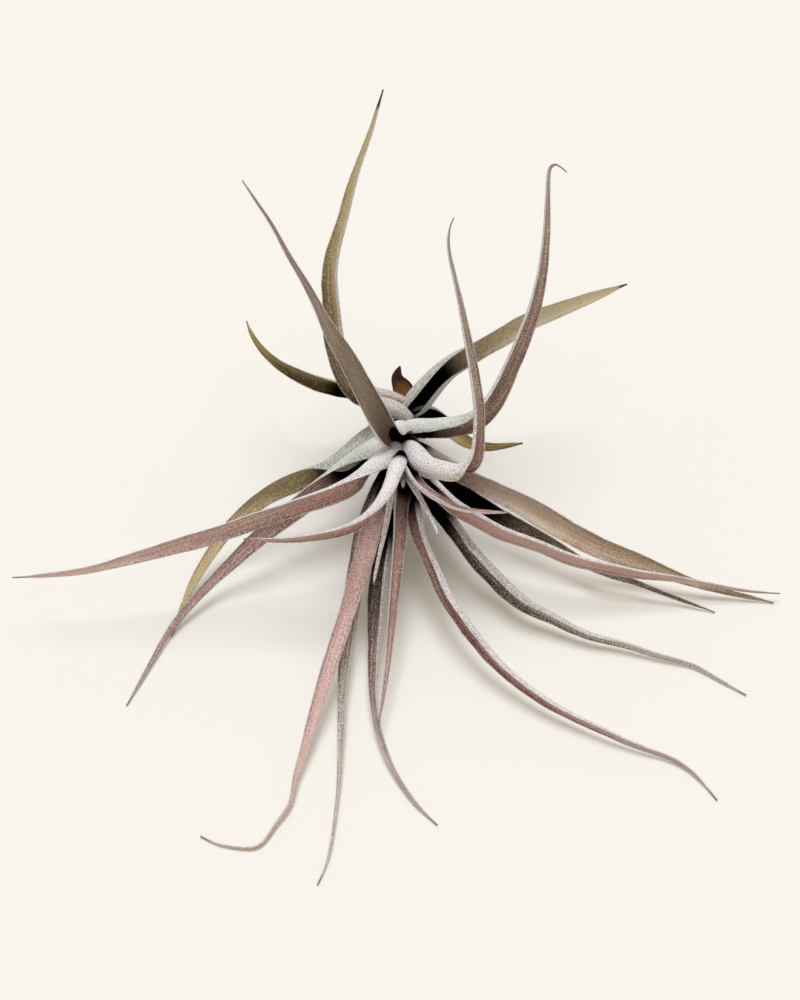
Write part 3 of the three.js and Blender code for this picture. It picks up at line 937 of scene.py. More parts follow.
@dataclass(frozen=True)
class Leaf:
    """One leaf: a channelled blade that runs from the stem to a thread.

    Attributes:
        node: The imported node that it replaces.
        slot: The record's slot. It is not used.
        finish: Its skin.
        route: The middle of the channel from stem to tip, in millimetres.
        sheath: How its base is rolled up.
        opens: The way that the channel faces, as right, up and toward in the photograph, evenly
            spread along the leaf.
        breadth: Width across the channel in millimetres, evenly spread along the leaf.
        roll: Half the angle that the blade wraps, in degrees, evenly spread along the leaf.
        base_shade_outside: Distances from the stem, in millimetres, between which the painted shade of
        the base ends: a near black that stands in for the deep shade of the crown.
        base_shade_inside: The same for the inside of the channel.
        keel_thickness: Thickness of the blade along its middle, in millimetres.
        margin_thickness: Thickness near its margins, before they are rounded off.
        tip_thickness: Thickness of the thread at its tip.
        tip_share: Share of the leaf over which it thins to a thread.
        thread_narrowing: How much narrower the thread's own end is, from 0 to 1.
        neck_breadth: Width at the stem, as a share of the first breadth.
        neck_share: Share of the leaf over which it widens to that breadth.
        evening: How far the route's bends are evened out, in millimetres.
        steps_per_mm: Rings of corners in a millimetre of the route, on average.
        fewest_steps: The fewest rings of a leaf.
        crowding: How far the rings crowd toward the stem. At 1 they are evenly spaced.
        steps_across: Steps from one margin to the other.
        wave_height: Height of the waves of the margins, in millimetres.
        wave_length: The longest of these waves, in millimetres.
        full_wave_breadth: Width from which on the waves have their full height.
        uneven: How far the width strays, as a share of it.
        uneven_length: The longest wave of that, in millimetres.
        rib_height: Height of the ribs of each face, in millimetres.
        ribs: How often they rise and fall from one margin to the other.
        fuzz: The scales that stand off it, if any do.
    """

    node: str
    slot: Slot
    finish: LeafFinish | DriedFinish
    route: tuple[Point, ...]
    sheath: Sheath
    opens: tuple[Point, ...]
    breadth: tuple[float, ...]
    roll: tuple[float, ...]
    # Painted shade near the stem, on the outside and on the inside of the channel
    base_shade_outside: tuple[float, float] = (2, 8)
    base_shade_inside: tuple[float, float] = (10, 30)

    keel_thickness: float = 1.0
    margin_thickness: float = 0.42
    tip_thickness: float = 0.4
    tip_share: float = 0.14
    thread_narrowing: float = 0.5
    neck_breadth: float = 0.62
    neck_share: float = 0.07
    evening: float = 3.2
    steps_per_mm: float = 1.15
    fewest_steps: int = 24
    crowding: float = 1.15
    steps_across: int = 22
    wave_height: float = 0.22
    wave_length: float = 26.0
    full_wave_breadth: float = 6.0
    uneven: float = 0.025
    uneven_length: float = 30.0
    rib_height: float = 0.03
    ribs: int = 7
    fuzz: Fuzz | None = Fuzz()

    # The least radius of a face and the distance between the patterns of the two, in
    # millimetres, and the power by which a margin is rounded
    LEAST_REACH = 0.03
    FACE_SHIFT = 50.0
    ROUNDING = 12

    def build(self, rng: np.random.Generator) -> bpy.types.Object:
        """Builds and dresses the leaf.

        Args:
            rng: The source of its small unevenness.

        Returns:
            The leaf.
        """
        piece = make_piece(self.node, *self.surface(rng))
        piece.data.materials.append(self.finish.material(self.node))
        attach(piece, "root")
        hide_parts(self.node)
        return piece

    def surface(self, rng: np.random.Generator) -> tuple[Array, Faces, Marks]:
        """The blade as one closed surface.

        Across it goes an arc: centre + side * reach * sin(angle) + opening * (middle - reach *
        cos(angle)), where the angle is the roll times the place across, and the reach is the
        arc's radius plus half the thickness on the outside, or less half of it on the inside.
        The two faces meet in a round margin. Along it the arc follows the route.

        Args:
            rng: The source of its small unevenness.

        Returns:
            The corners in metres, the faces, and the marks that the material reads.
        """
        route = Route(self.route, self.evening)
        steps = max(self.fewest_steps, round(route.length * self.steps_per_mm))
        share = np.linspace(0, 1, steps + 1) ** self.crowding
        centre, along = route.at(share)
        length = share[:, None] * route.length
        unfurled = smooth_step(length, *self.sheath.unfurls)
        rolled = unit(np.array([self.sheath.opens], float))
        opening = rolled * (1 - unfurled) + unit(spread_rows(self.opens, share)) * unfurled
        opening = opening @ PHOTO_AXES
        opening = unit(opening - (opening * along).sum(1, keepdims=True) * along)
        side = np.cross(along, opening)

        across, face = self._ring()
        more_roll = spread(self.roll, share)[:, None] - self.sheath.roll
        roll = np.radians(self.sheath.roll + more_roll * unfurled)
        breadth = self._breadth(share, length[:, 0], rng)[:, None]
        radius = breadth / 2 / np.sin(np.minimum(roll, np.pi / 2))
        middle = radius * (1 + np.cos(roll)) / 2
        thickness = self._thickness(share[:, None], across[None, :])
        angle = across[None, :] * roll
        reach = np.maximum(radius + face * thickness / 2, self.LEAST_REACH)
        lift = self._waves(across, length[:, 0], breadth, rng)
        outward = reach * np.cos(angle) - lift
        points = (
            centre[:, None, :]
            + side[:, None, :] * (reach * np.sin(angle))[:, :, None]
            + opening[:, None, :] * (middle - outward)[:, :, None]
        )
        points[:, :, 2] = np.maximum(points[:, :, 2], 0)

        marks = self._marks(share, length[:, 0], across, face, angle * radius)
        corners, faces = points.reshape(-1, 3), self._faces(steps, len(across))
        if self.fuzz is not None:
            spikes, spike_faces, spike_marks = self.fuzz.grow(points, marks, route.length, rng)
            faces += (spike_faces + len(corners)).tolist()
            corners = np.vstack([corners, spikes])
            marks = {key: np.concatenate([values, spike_marks[key]]) for key, values in marks.items()}
        return corners * MM, faces, marks

    def _ring(self) -> tuple[Array, Array]:
        """Places across the blade for one turn round it, and which face each is on.

        They crowd towards the margins, by three halves of the share less half its cube.

        Returns:
            The places from -1 to 1, and 1 on the outside, -1 on the inside and 0 at a margin.
        """
        even = np.linspace(-1, 1, self.steps_across + 1)
        places = 1.5 * even - 0.5 * even**3
        across = np.concatenate([places, places[-2:0:-1]])
        face = np.concatenate([np.ones(len(places)), -np.ones(len(places) - 2)])
        face[[0, len(places) - 1]] = 0
        return across, face

    def _breadth(self, share: Array, length: Array, rng: np.random.Generator) -> Array:
        """Width across the channel, with a neck at the base and a slight unevenness.

        Args:
            share: Share of the way from base to tip.
            length: Distance from the stem, in millimetres.
            rng: The source of the unevenness.

        Returns:
            The width, in millimetres.
        """
        neck = self.neck_breadth + (1 - self.neck_breadth) * smooth_step(share, 0, self.neck_share)
        thread = 1 - self.thread_narrowing * smooth_step(share, 1 - self.tip_share / 2, 1)
        uneven = 1 + self.uneven * waves(length, rng, self.uneven_length)
        return spread(self.breadth, share) * neck * thread * uneven

    def _thickness(self, share: Array, across: Array) -> Array:
        """Blade thickness: least at the margins, thin at the tip, and round at each edge.

        From keel to margin it falls with the square of the place across. The ribs are a cosine
        that fades toward the margins, on both faces.

        Args:
            share: Share of the way from base to tip.
            across: Place across the blade, from -1 to 1.

        Returns:
            The thickness, in millimetres.
        """
        blade = self.keel_thickness + (self.margin_thickness - self.keel_thickness) * across**2
        to_tip = smooth_step(share, 1 - self.tip_share, 1)
        blade = blade + (self.tip_thickness - blade) * to_tip
        edge = np.sqrt(np.clip(1 - np.abs(across) ** self.ROUNDING, 0, 1))
        ribs = self.rib_height * np.cos(np.pi * self.ribs * across) * (1 - across**2)
        return (blade + 2 * ribs) * edge

    def _waves(self, across: Array, length: Array, breadth: Array, rng: np.random.Generator) -> Array:
        """How far the blade is lifted out of a true arc, mostly near its margins.

        Each half has a wave of its own, times the square of the place across.

        Args:
            across: Place across the blade, from -1 to 1.
            length: Distance from the stem, in millimetres.
            breadth: Width of the blade there, in millimetres.
            rng: The source of the waves.

        Returns:
            The lift, in millimetres.
        """
        left = waves(length, rng, self.wave_length)[:, None] * np.clip(-across, 0, 1)[None, :] ** 2
        right = waves(length, rng, self.wave_length)[:, None] * np.clip(across, 0, 1)[None, :] ** 2
        return (left + right) * self.wave_height * np.minimum(breadth / self.full_wave_breadth, 1)

    def _marks(self, share: Array, length: Array, across: Array, face: Array, arc: Array) -> Marks:
        """What the material reads at each corner.

        Args:
            share: Share of the way from base to tip, for each ring.
            length: Distance from the stem, in millimetres, for each ring.
            across: Place across the blade, for each corner of a ring.
            face: 1 on the outside, -1 on the inside and 0 at a margin, for each corner of a ring.
            arc: Distance from the blade's middle, in millimetres, for every corner.

        Returns:
            The marks.
        """
        around = len(across)
        inside = np.tile((1 - face) / 2, len(share))
        # Painted shade: the base mark is 1 near the stem, where the material paints the deep shade of
        # the crown near black
        outside_end = np.repeat(smooth_step(length, *self.base_shade_outside), around)
        inside_end = np.repeat(smooth_step(length, *self.base_shade_inside), around)
        grain = [arc.ravel(), np.repeat(length, around), inside * self.FACE_SHIFT]
        return {
            "along": np.repeat(share, around),
            "base": 1 - (outside_end * (1 - inside) + inside_end * inside),
            "across": np.tile(across, len(share)),
            "inside": inside,
            "grain": np.stack(grain, 1) * MM,
        }

    def _faces(self, steps: int, around: int) -> Faces:
        """Faces between neighbouring rings, and strips that close the two ends.

        A strip joins each corner of the outside to its twin on the inside.

        Args:
            steps: Steps along the leaf.
            around: Corners of a ring.

        Returns:
            The faces, as rows of corner numbers.
        """
        corner = np.arange(around)
        step = np.arange(steps)[:, None] * around
        a = (step + corner).ravel()
        b = (step + (corner + 1) % around).ravel()
        sides = np.stack([a, a + around, b + around, b], 1).tolist()
        half = around // 2
        outer = np.arange(1, half - 1)
        twin = (around - np.arange(half + 1)) % around
        strips = np.stack([outer, outer + 1, twin[outer + 1], twin[outer]], 1)
        last = steps * around
        ends = strips.tolist() + (last + strips[:, ::-1]).tolist()
        ends += [[0, 1, twin[1]], [half - 1, half, twin[half - 1]]]
        ends += [[last + twin[1], last + 1, last]]
        ends += [[last + twin[half - 1], last + half, last + half - 1]]
        return sides + [[int(index) for index in row] for row in ends]


@dataclass(frozen=True)
class Stem:
    """The short stem, with ledges where old leaves grew.

    Attributes:
        butt: The end that rests on the surface, in millimetres.
        tip: The growing end.
        profile: Distance along the stem, and radius there.
        finish: Its skin.
        rings: Steps along the stem.
        sides: Corners round it.
        least_radius: The least radius of a ring, in millimetres.
        ledge_height: How far a ledge stands out, in millimetres.
        ledge_pitch: From one ledge to the next, in millimetres.
        ledge_span: Shares of the stem at which the ledges have risen, and begin to fade.
        lobes: How often a ledge's edge goes in and out in one turn.
        lobe_depth: How far it does, as a share of the ledge's height.
        grain_radius: Radius by which the skin's pattern goes round, in millimetres.
    """

    butt: Point = (0, 62, 2.8)
    tip: Point = (-1, 18, 33)
    profile: tuple[tuple[float, float], ...] = (
        (0, 0),
        (0.4, 4.4),
        (2.2, 6.6),
        (5, 7.6),
        (8, 7.0),
        (11, 7.2),
        (15, 6.2),
        (20, 6.4),
        (28, 5.6),
        (36, 4.4),
        (43, 3.2),
        (48, 2.4),
        (52, 1.5),
        (53.5, 0),
    )
    finish: BarkFinish = BarkFinish()
    rings: int = 220
    sides: int = 120
    least_radius: float = 0.1
    ledge_height: float = 0.7
    ledge_pitch: float = 3.4
    ledge_span: tuple[float, float] = (0.06, 0.8)
    lobes: int = 5
    lobe_depth: float = 0.35
    grain_radius: float = 7.0

    def build(self, rng: np.random.Generator) -> bpy.types.Object:
        """Builds and dresses the stem.

        Args:
            rng: The source of its unevenness.

        Returns:
            The stem.
        """
        piece = make_piece("stem", *self.surface(rng))
        piece.data.materials.append(self.finish.material("stem"))
        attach(piece, "root")
        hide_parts("stem")
        return piece

    def surface(self, rng: np.random.Generator) -> tuple[Array, Faces, Marks]:
        """The profile turned about the stem's axis, with ledges that climb it in a spiral.

        A ledge rises slowly and drops at once: its height is the square of the share of the
        pitch that has passed, where each turn moves the ledges on by one pitch.

        Args:
            rng: The source of its unevenness.

        Returns:
            The corners in metres, the faces, and the marks that the material reads.
        """
        start, end = np.array(self.butt, float), np.array(self.tip, float)
        axis = (end - start) / np.linalg.norm(end - start)
        sideways = unit(np.cross(axis, [0, 0, 1])[None, :])[0]
        upward = np.cross(sideways, axis)
        profile = np.array(self.profile, float)
        share = np.linspace(0, 1, self.rings + 1)[1:-1]
        height = share * profile[-1, 0]
        turn = np.arange(self.sides) / self.sides * 2 * np.pi
        radius = np.interp(height, profile[:, 0], profile[:, 1])[:, None]
        climbed = (height[:, None] / self.ledge_pitch - turn[None, :] / (2 * np.pi)) % 1
        ragged = 1 + self.lobe_depth * np.sin(self.lobes * turn + 2 * rng.uniform())[None, :]
        risen, fading = self.ledge_span
        fade = (smooth_step(share, 0, risen) * smooth_step(share, 1, fading))[:, None]
        radius = radius - self.ledge_height * (1 - climbed**2) * ragged * fade
        radius = np.maximum(radius, self.least_radius)
        spoke = np.cos(turn)[:, None] * sideways + np.sin(turn)[:, None] * upward
        points = (start + height[:, None] * axis)[:, None, :] + radius[:, :, None] * spoke[None, :, :]
        points = np.vstack([points.reshape(-1, 3), start, start + profile[-1, 0] * axis]) * MM
        points[:, 2] = np.maximum(points[:, 2], 0)
        rows = len(height)
        grain = np.stack([np.tile(turn * self.grain_radius, rows), np.repeat(height, self.sides)], 1)
        grain = np.vstack([grain, [[0, 0], [0, profile[-1, 0]]]]) * MM
        marks = {"grain": np.column_stack([grain, np.zeros(len(grain))])}
        return points, self._faces(rows), marks

    def _faces(self, rows: int) -> Faces:
        """Faces between neighbouring rings, and a fan at each end.

        Args:
            rows: Rings along the stem.

        Returns:
            The faces, as rows of corner numbers.
        """
        corner = np.arange(self.sides)
        after = (corner + 1) % self.sides
        step = np.arange(rows - 1)[:, None] * self.sides
        a, b = (step + corner).ravel(), (step + after).ravel()
        sides = np.stack([a, b, b + self.sides, a + self.sides], 1).tolist()
        butt, tip = rows * self.sides, rows * self.sides + 1
        last = (rows - 1) * self.sides
        first_fan = np.stack([after, corner, np.full_like(corner, butt)], 1).tolist()
        last_fan = np.stack([last + corner, last + after, np.full_like(corner, tip)], 1).tolist()
        return sides + first_fan + last_fan


# The tables write a tone as T and its name
T = Tone

# Colours from base to tip that several leaves share: the insides of the two young spikes, and
# the outsides of the young, the pink, the grey and the olive leaves
SPIKE_INSIDE = (T.UMBER, T.ROSE, T.BLUSH)
YOUNG_OUTSIDE = (T.PLUM, T.PLUM, T.MAUVE)
PINK_OUTSIDE = (T.SLATE, T.PLUM, T.MAUVE)
GREY_OUTSIDE = (T.SLATE, T.SLATE, T.PEWTER, T.TAUPE)
OLIVE_OUTSIDE = (T.SLATE, T.SLATE, T.SLATE, T.KHAKI)

# The leaves, from the innermost out
LEAVES = (
    # The young leaves at the heart
    Leaf(
        node="centre_spike",
        slot=Slot.YOUNG,
        finish=LeafFinish(
            # Painted shade: the inside starts near black, deep in the channel
            inner=(T.BLACK, T.LILAC),
            outer=(T.PLUM, T.PLUM),
        ),
        route=((-1, 19, 33), (0, 9, 36), (0, 3, 36)),
        sheath=Sheath((0, 0.1, -0.9), 80, (0, 8)),
        opens=((0, 0.1, -0.9),),
        breadth=(3, 2.4, 0.8),
        roll=(70, 60, 30),
        base_shade_outside=(1, 5),
    ),
    Leaf(
        node="young_spike_right",
        slot=Slot.YOUNG,
        finish=LeafFinish(
            inner=SPIKE_INSIDE,
            outer=YOUNG_OUTSIDE,
            outer_cover=(0.8, 0.8),
        ),
        route=((0, 20, 32), (2, 6, 37), (5, 0, 37), (8, -6, 36), (10, -10, 35), (12, -16, 34)),
        sheath=Sheath((0, 0.1, -0.9), 80, (0, 20)),
        opens=((0, 0.1, -0.9),),
        breadth=(3, 2.2, 1.8, 1.3, 0.7),
        roll=(80, 70, 60, 45, 30),
        base_shade_outside=(8, 14),
    ),
    Leaf(
        node="young_spike_left",
        slot=Slot.YOUNG,
        finish=LeafFinish(
            inner=SPIKE_INSIDE,
            outer=YOUNG_OUTSIDE,
            outer_cover=(0.8, 0.7),
        ),
        route=(
            (-1, 21, 31), (-3, 8, 34), (-4, 2, 34), (-5, -5, 33), (-6, -11, 31), (-8, -19, 28),
            (-10, -29, 24),
        ),
        sheath=Sheath((0, 0.1, -0.9), 80, (0, 20)),
        opens=((0, 0.1, -0.9),),
        breadth=(2.4, 2.2, 1.8, 1.3, 0.7),
        roll=(80, 70, 60, 45, 30),
        base_shade_outside=(6, 14),
    ),
    Leaf(
        node="young_leaf_right",
        slot=Slot.YOUNG,
        finish=LeafFinish(
            inner=(T.UMBER, T.ROSEWOOD, T.ROSEWOOD, T.MAUVE),
            outer=YOUNG_OUTSIDE,
            outer_cover=(0.8, 0.8),
        ),
        route=(
            (0, 19, 33), (2.5, 7.5, 40), (5.5, -0.5, 42.5), (10.5, -5.5, 42.5), (17, -9, 41),
            (24, -10, 40), (36, -9, 38),
        ),
        sheath=Sheath((0.5, 0.6, 0.6), 105, (10, 30)),
        opens=((0.3, 0.8, 0.35), (0.3, 0.8, 0.4), (0.2, 0.8, 0.6)),
        breadth=(4, 3.7, 3.1, 2, 0.8),
        roll=(105, 100, 95, 70, 30),
        base_shade_outside=(6, 12),
    ),
    # The grown leaves round them
    Leaf(
        node="short_left_leaf",
        slot=Slot.PINK,
        finish=LeafFinish(
            # Painted shade: the inside starts near black, deep in the channel
            inner=(T.BLACK, T.ROSEWOOD, T.ROSE, T.ROSE, T.MAUVE),
            outer=PINK_OUTSIDE,
            outer_cover=(1.05, 0.9),
        ),
        route=(
            (-1, 21, 32), (-2, 10, 39), (-4.5, -2, 43), (-7.5, -9, 43), (-11.5, -13.5, 41.5),
            (-17, -16.5, 39.5), (-24, -18, 38), (-35, -18, 35), (-44, -17.5, 33.5), (-54, -15, 31),
        ),
        sheath=Sheath((0.8, 0, -0.6), 120, (14, 54)),
        opens=((0.5, -0.6, 0.6), (0.3, -0.7, 0.65), (0, -0.7, 0.7), (0, -0.6, 0.8)),
        breadth=(6, 6.6, 4.9, 4.0, 3.2, 1.9, 0.9),
        roll=(120, 105, 95, 80, 40),
        base_shade_outside=(8, 15),
    ),
    Leaf(
        node="arching_left_leaf",
        slot=Slot.MAUVE,
        finish=LeafFinish(
            inner=(T.TAUPE, T.TAUPE, T.TAUPE, T.TAUPE, T.ROSEWOOD, T.ROSEWOOD, T.PEWTER),
            outer=(T.SLATE, T.PLUM, T.PEWTER, T.MAUVE, T.PEWTER),
            bloom=T.PEWTER,
            middle=T.TAUPE,
            inner_cover=(0, 0.5),
        ),
        route=(
            (-1, 32, 27), (-1, 30, 35), (-4, 21, 42), (-7, 19, 50), (-11, 22, 58), (-15, 27, 64),
            (-19, 32, 70), (-24, 38, 75), (-32, 52, 83), (-39, 63, 88), (-45, 75, 91),
            (-51, 85, 93), (-56, 94, 94),
        ),
        sheath=Sheath((0.5, -0.6, 0.6), 130, (16, 50)),
        opens=((0.5, -0.6, 0.6), (0.3, 0, 0.92), (0.2, 0.1, 0.94)),
        breadth=(8.4, 7.8, 7.6, 7.6, 6.4, 3.6, 2.1, 1.5, 1.0, 0.8),
        roll=(130, 75, 45, 50, 50, 30),
        base_shade_outside=(0, 8),
        base_shade_inside=(12, 15),
    ),
    Leaf(
        node="front_middle_leaf",
        slot=Slot.PINK,
        finish=LeafFinish(
            inner=(T.COCOA, T.COCOA, T.ROSEWOOD, T.ROSEWOOD, T.MAUVE, T.ROSE),
            outer=YOUNG_OUTSIDE,
            inner_cover=(0.12, 0.24),
        ),
        route=(
            (0, 21, 30), (0.5, 12, 29), (-1, 3, 27), (-1, -5, 25), (-2, -17, 21), (-3, -28, 18),
            (-4, -39, 14), (-5, -51, 11), (-6.5, -63, 8), (-8, -72, 6),
        ),
        sheath=Sheath((0.3, 0, 0.95), 95, (0, 20)),
        opens=((0.5, 0, 0.87), (0.4, 0, 0.9), (0.3, 0, 0.95)),
        breadth=(6, 4.9, 3.7, 2.1, 0.7),
        roll=(95, 90, 80, 60, 30),
        base_shade_outside=(9, 19),
        base_shade_inside=(9, 22),
    ),
    Leaf(
        node="long_left_leaf",
        slot=Slot.PINK,
        finish=LeafFinish(
            inner=(T.MAUVE, T.MAUVE, T.ROSE, T.MAUVE, T.ROSE, T.BLUSH, T.LILAC),
            outer=PINK_OUTSIDE,
            middle=T.ROSE,
            inner_cover=(0.2, 0.8),
        ),
        route=(
            (-1, 30, 27), (-4.5, 18.5, 35.5), (-10.5, 8.5, 40.5), (-15.5, 1, 43), (-22, -4, 43),
            (-30, -7, 42), (-44, -10.5, 39), (-63, -15.5, 34.5), (-76, -18, 31.5), (-89, -20, 28),
            (-107, -23, 24), (-124, -24, 22), (-133, -24, 21),
        ),
        sheath=Sheath((0, -0.9, -0.2), 120, (4, 50)),
        opens=(
            (0.3, -0.7, 0.65), (0.2, -0.6, 0.75), (0.1, -0.5, 0.87), (0, -0.3, 0.95),
            (0, -0.3, 0.95),
        ),
        breadth=(7.8, 7.4, 6.2, 6.1, 2.9, 0.7),
        roll=(120, 95, 75, 60, 50, 30),
        base_shade_outside=(6, 12),
    ),
    Leaf(
        node="hooked_right_leaf",
        slot=Slot.PINK,
        finish=LeafFinish(
            inner=(T.COCOA, T.TAUPE, T.ROSEWOOD, T.TAUPE, T.TAUPE, T.PEWTER, T.PEWTER),
            outer=PINK_OUTSIDE,
            middle=T.MAUVE,
            inner_cover=(-0.1, 0.1),
        ),
        route=(
            (0.5, 28.5, 29), (4, 18, 37), (8, 8.5, 41.5), (13, 2.5, 47), (18, -2.5, 51.5),
            (24, -1.5, 55), (25, 5, 59), (25.5, 13, 63), (24, 25, 69), (21.5, 40, 74), (19, 55, 78),
            (16, 72, 81), (16, 81, 82), (18, 87, 83),
        ),
        sheath=Sheath((0, -0.5, -0.87), 120, (34, 54)),
        opens=((0.6, -0.3, 0.7), (0.6, -0.3, 0.7), (0.6, 0, 0.8), (0.5, 0, 0.85), (0.4, 0, 0.9)),
        breadth=(7.2, 7, 4.0, 3.2, 1.6, 0.7),
        roll=(120, 105, 100, 90, 70, 40),
        base_shade_outside=(3, 9),
        base_shade_inside=(30, 52),
    ),
    Leaf(
        node="front_kinked_leaf",
        slot=Slot.PINK,
        finish=LeafFinish(
            inner=(T.COCOA, T.ROSEWOOD, T.ROSE, T.ROSE, T.BLUSH, T.BLUSH, T.STRAW, T.STRAW),
            outer=PINK_OUTSIDE,
            inner_cover=(0.5, 0.7),
        ),
        route=(
            (-1, 24, 28), (-3.5, 15, 26), (-6.5, 7, 25), (-11, -5, 23), (-14, -17, 20),
            (-21, -41, 14), (-27, -61, 9), (-32, -80, 5), (-35, -91, 3), (-36.5, -100, 1.8),
            (-41, -107.5, 1.2), (-45.5, -114.5, 0.8), (-51, -115.5, 0.6), (-59, -114, 0.5),
            (-65, -111, 0.3),
        ),
        sheath=Sheath((0.1, 0, 1), 90, (0, 20)),
        opens=((0.15, 0.1, 1), (0.1, 0, 1), (0, 0, 1)),
        breadth=(6, 7.6, 7, 5.4, 5.2, 3.5, 1.4, 0.9, 0.7),
        roll=(90, 65, 62, 60, 50, 30),
        evening=1.2,
        base_shade_outside=(13, 25),
        base_shade_inside=(12, 27),
    ),
    Leaf(
        node="side_right_leaf_upper",
        slot=Slot.PINK,
        finish=LeafFinish(
            inner=(T.COCOA, T.BLUSH, T.PETAL, T.BLUSH, T.PETAL, T.ROSE),
            outer=PINK_OUTSIDE,
            inner_cover=(0.45, 0.55),
            outer_cover=(0.94, 0.84),
        ),
        route=(
            (2, 24, 30), (6, 15, 30), (12, 8, 29), (18, 2, 27), (26, -2, 25), (33.5, -6, 23),
            (46, -9.5, 20.5), (59, -14, 17.5), (71, -15, 14.5), (82, -16, 12), (95, -16.5, 10),
            (107, -16.5, 6.5), (120, -17.5, 4), (132, -18, 3),
        ),
        sheath=Sheath((0, -0.9, 0.4), 105, (0, 26)),
        opens=((-0.3, -0.6, 0.75), (-0.25, -0.6, 0.77), (-0.15, -0.55, 0.82), (0, -0.4, 0.9)),
        breadth=(6.4, 5.4, 4.2, 3.9, 1.3, 0.7),
        roll=(105, 100, 98, 92, 80, 40),
        base_shade_outside=(10, 20),
        base_shade_inside=(14, 28),
    ),
    Leaf(
        node="front_right_leaf",
        slot=Slot.PINK,
        finish=LeafFinish(
            inner=(T.COCOA, T.ROSEWOOD, T.ROSEWOOD, T.ROSE, T.LILAC, T.LILAC),
            outer=YOUNG_OUTSIDE,
            inner_cover=(0.12, 0.4),
            outer_cover=(0.85, 0.9),
        ),
        route=(
            (1, 22, 28), (2, 12, 27), (4, 2, 25), (6, -8, 22), (10, -17.5, 19.5),
            (15.5, -29.5, 15.5), (25, -43, 11.5), (34, -53, 8), (45, -62, 6), (55.5, -68.5, 4.5),
            (67, -74.5, 4), (78, -79.5, 2.4), (88, -83, 1.6), (95, -88, 1), (102, -98, 0.3),
        ),
        sheath=Sheath((-0.6, -0.1, 0.8), 100, (0, 20)),
        opens=((-0.6, -0.1, 0.8), (-0.7, -0.5, 0.6), (-0.5, -0.6, 0.6), (-0.2, -0.3, 0.9)),
        breadth=(6.2, 5.0, 5.0, 3.4, 2.1, 0.7),
        roll=(100, 105, 105, 100, 80, 40),
        base_shade_outside=(14, 28),
        base_shade_inside=(12, 28),
    ),
    # The oldest leaves, outside these
    Leaf(
        node="tall_right_leaf",
        slot=Slot.MAUVE,
        finish=LeafFinish(
            inner=(T.COCOA, T.TAUPE, T.TAUPE, T.MAUVE, T.MAUVE, T.MAUVE, T.STRAW),
            outer=GREY_OUTSIDE,
            scales=T.ASH,
            middle=T.COCOA,
            outer_cover=(1.02, 0.74),
            inner_cover=(0, 0.22),
        ),
        route=(
            (1, 43, 18), (4, 36, 29), (10, 30, 36), (16, 25.5, 42.5), (23, 24, 46), (28, 25, 50),
            (32, 29, 54), (37.5, 38, 61), (43, 47, 71), (47, 58, 80), (49, 70, 88), (50, 84, 94),
            (51, 98, 98), (53.5, 98, 98), (57, 95, 97),
        ),
        sheath=Sheath((0, -0.95, 0.3), 100, (32, 62)),
        opens=((0.3, -0.8, 0.5), (0.5, -0.3, 0.8), (0.6, -0.1, 0.77), (0.5, 0, 0.85)),
        breadth=(10, 9.6, 6.4, 4.8, 2.4, 0.7),
        roll=(100, 95, 90, 85, 70, 40),
        base_shade_outside=(0, 8),
    ),
    Leaf(
        node="tall_back_leaf",
        slot=Slot.OLIVE,
        finish=LeafFinish(
            inner=(T.COCOA, T.COCOA, T.TAUPE, T.OLIVE, T.KHAKI, T.KHAKI, T.KHAKI),
            outer=(T.SLATE, T.SLATE, T.COCOA, T.KHAKI, T.KHAKI),
            scales=T.CHALK,
            bloom=T.SAND,
            # Painted highlight: the gold tint lies toward one margin, where the light catches the ridge
            middle=T.GOLD,
            middle_at=0.45,
            middle_tint=0.75,
            inner_cover=(0.14, 0.05),
            outer_cover=(0.86, 0.6),
            tip=T.BLACK,
            tip_from=0.93,
        ),
        route=(
            (5, 47, 18), (1, 47, 23), (-4, 46, 29), (-10, 43, 34), (-16.5, 39, 46), (-22, 43, 58),
            (-24, 50, 74), (-24.5, 60, 86), (-20.5, 74, 94), (-16.5, 90, 100), (-11, 109, 104),
            (-9, 119, 105), (-7, 128, 106),
        ),
        sheath=Sheath((0, -0.8, -0.5), 120, (14, 45)),
        opens=((-0.3, -0.7, 0.55), (-0.6, 0, 0.78), (-0.6, 0, 0.78)),
        breadth=(5, 8, 7.1, 4.7, 2.8, 0.9),
        roll=(120, 95, 90, 80, 60, 30),
        base_shade_outside=(0, 8),
    ),
    Leaf(
        node="side_left_leaf_inner",
        slot=Slot.MAUVE,
        finish=LeafFinish(
            inner=(T.UMBER, T.UMBER, T.COCOA, T.ROSEWOOD, T.MAUVE, T.ROSEWOOD, T.PEWTER),
            outer=GREY_OUTSIDE,
            scales=T.ASH,
            outer_cover=(1.02, 0.78),
        ),
        route=(
            (-2, 37, 25), (-9, 27, 30), (-18, 19, 30), (-26.5, 12.5, 27.5), (-36.5, 5.5, 23),
            (-43.5, 1.5, 19.5), (-51, -4, 16.5), (-58, -9, 12), (-67, -16, 7), (-75, -25, 4),
            (-81, -33.5, 2.2), (-85.5, -44, 1.2), (-93, -62, 0.3),
        ),
        sheath=Sheath((0, -0.8, 0.1), 120, (6, 44)),
        opens=((0, -0.75, 0.58), (0, -0.42, 0.84), (0, 0.1, 1)),
        breadth=(7, 9, 7.6, 3.8, 1.9, 0.7),
        roll=(120, 80, 60, 50, 45, 30),
        base_shade_outside=(8, 16),
        base_shade_inside=(26, 44),
    ),
    Leaf(
        node="side_right_leaf_back",
        slot=Slot.OLIVE,
        finish=LeafFinish(
            inner=(T.ROSEWOOD, T.MAUVE, T.SAND, T.STRAW, T.KHAKI, T.OLIVE, T.OLIVE),
            outer=GREY_OUTSIDE,
            scales=T.CHALK,
            middle=T.STRAW,
            inner_cover=(0.42, 0.24),
        ),
        route=(
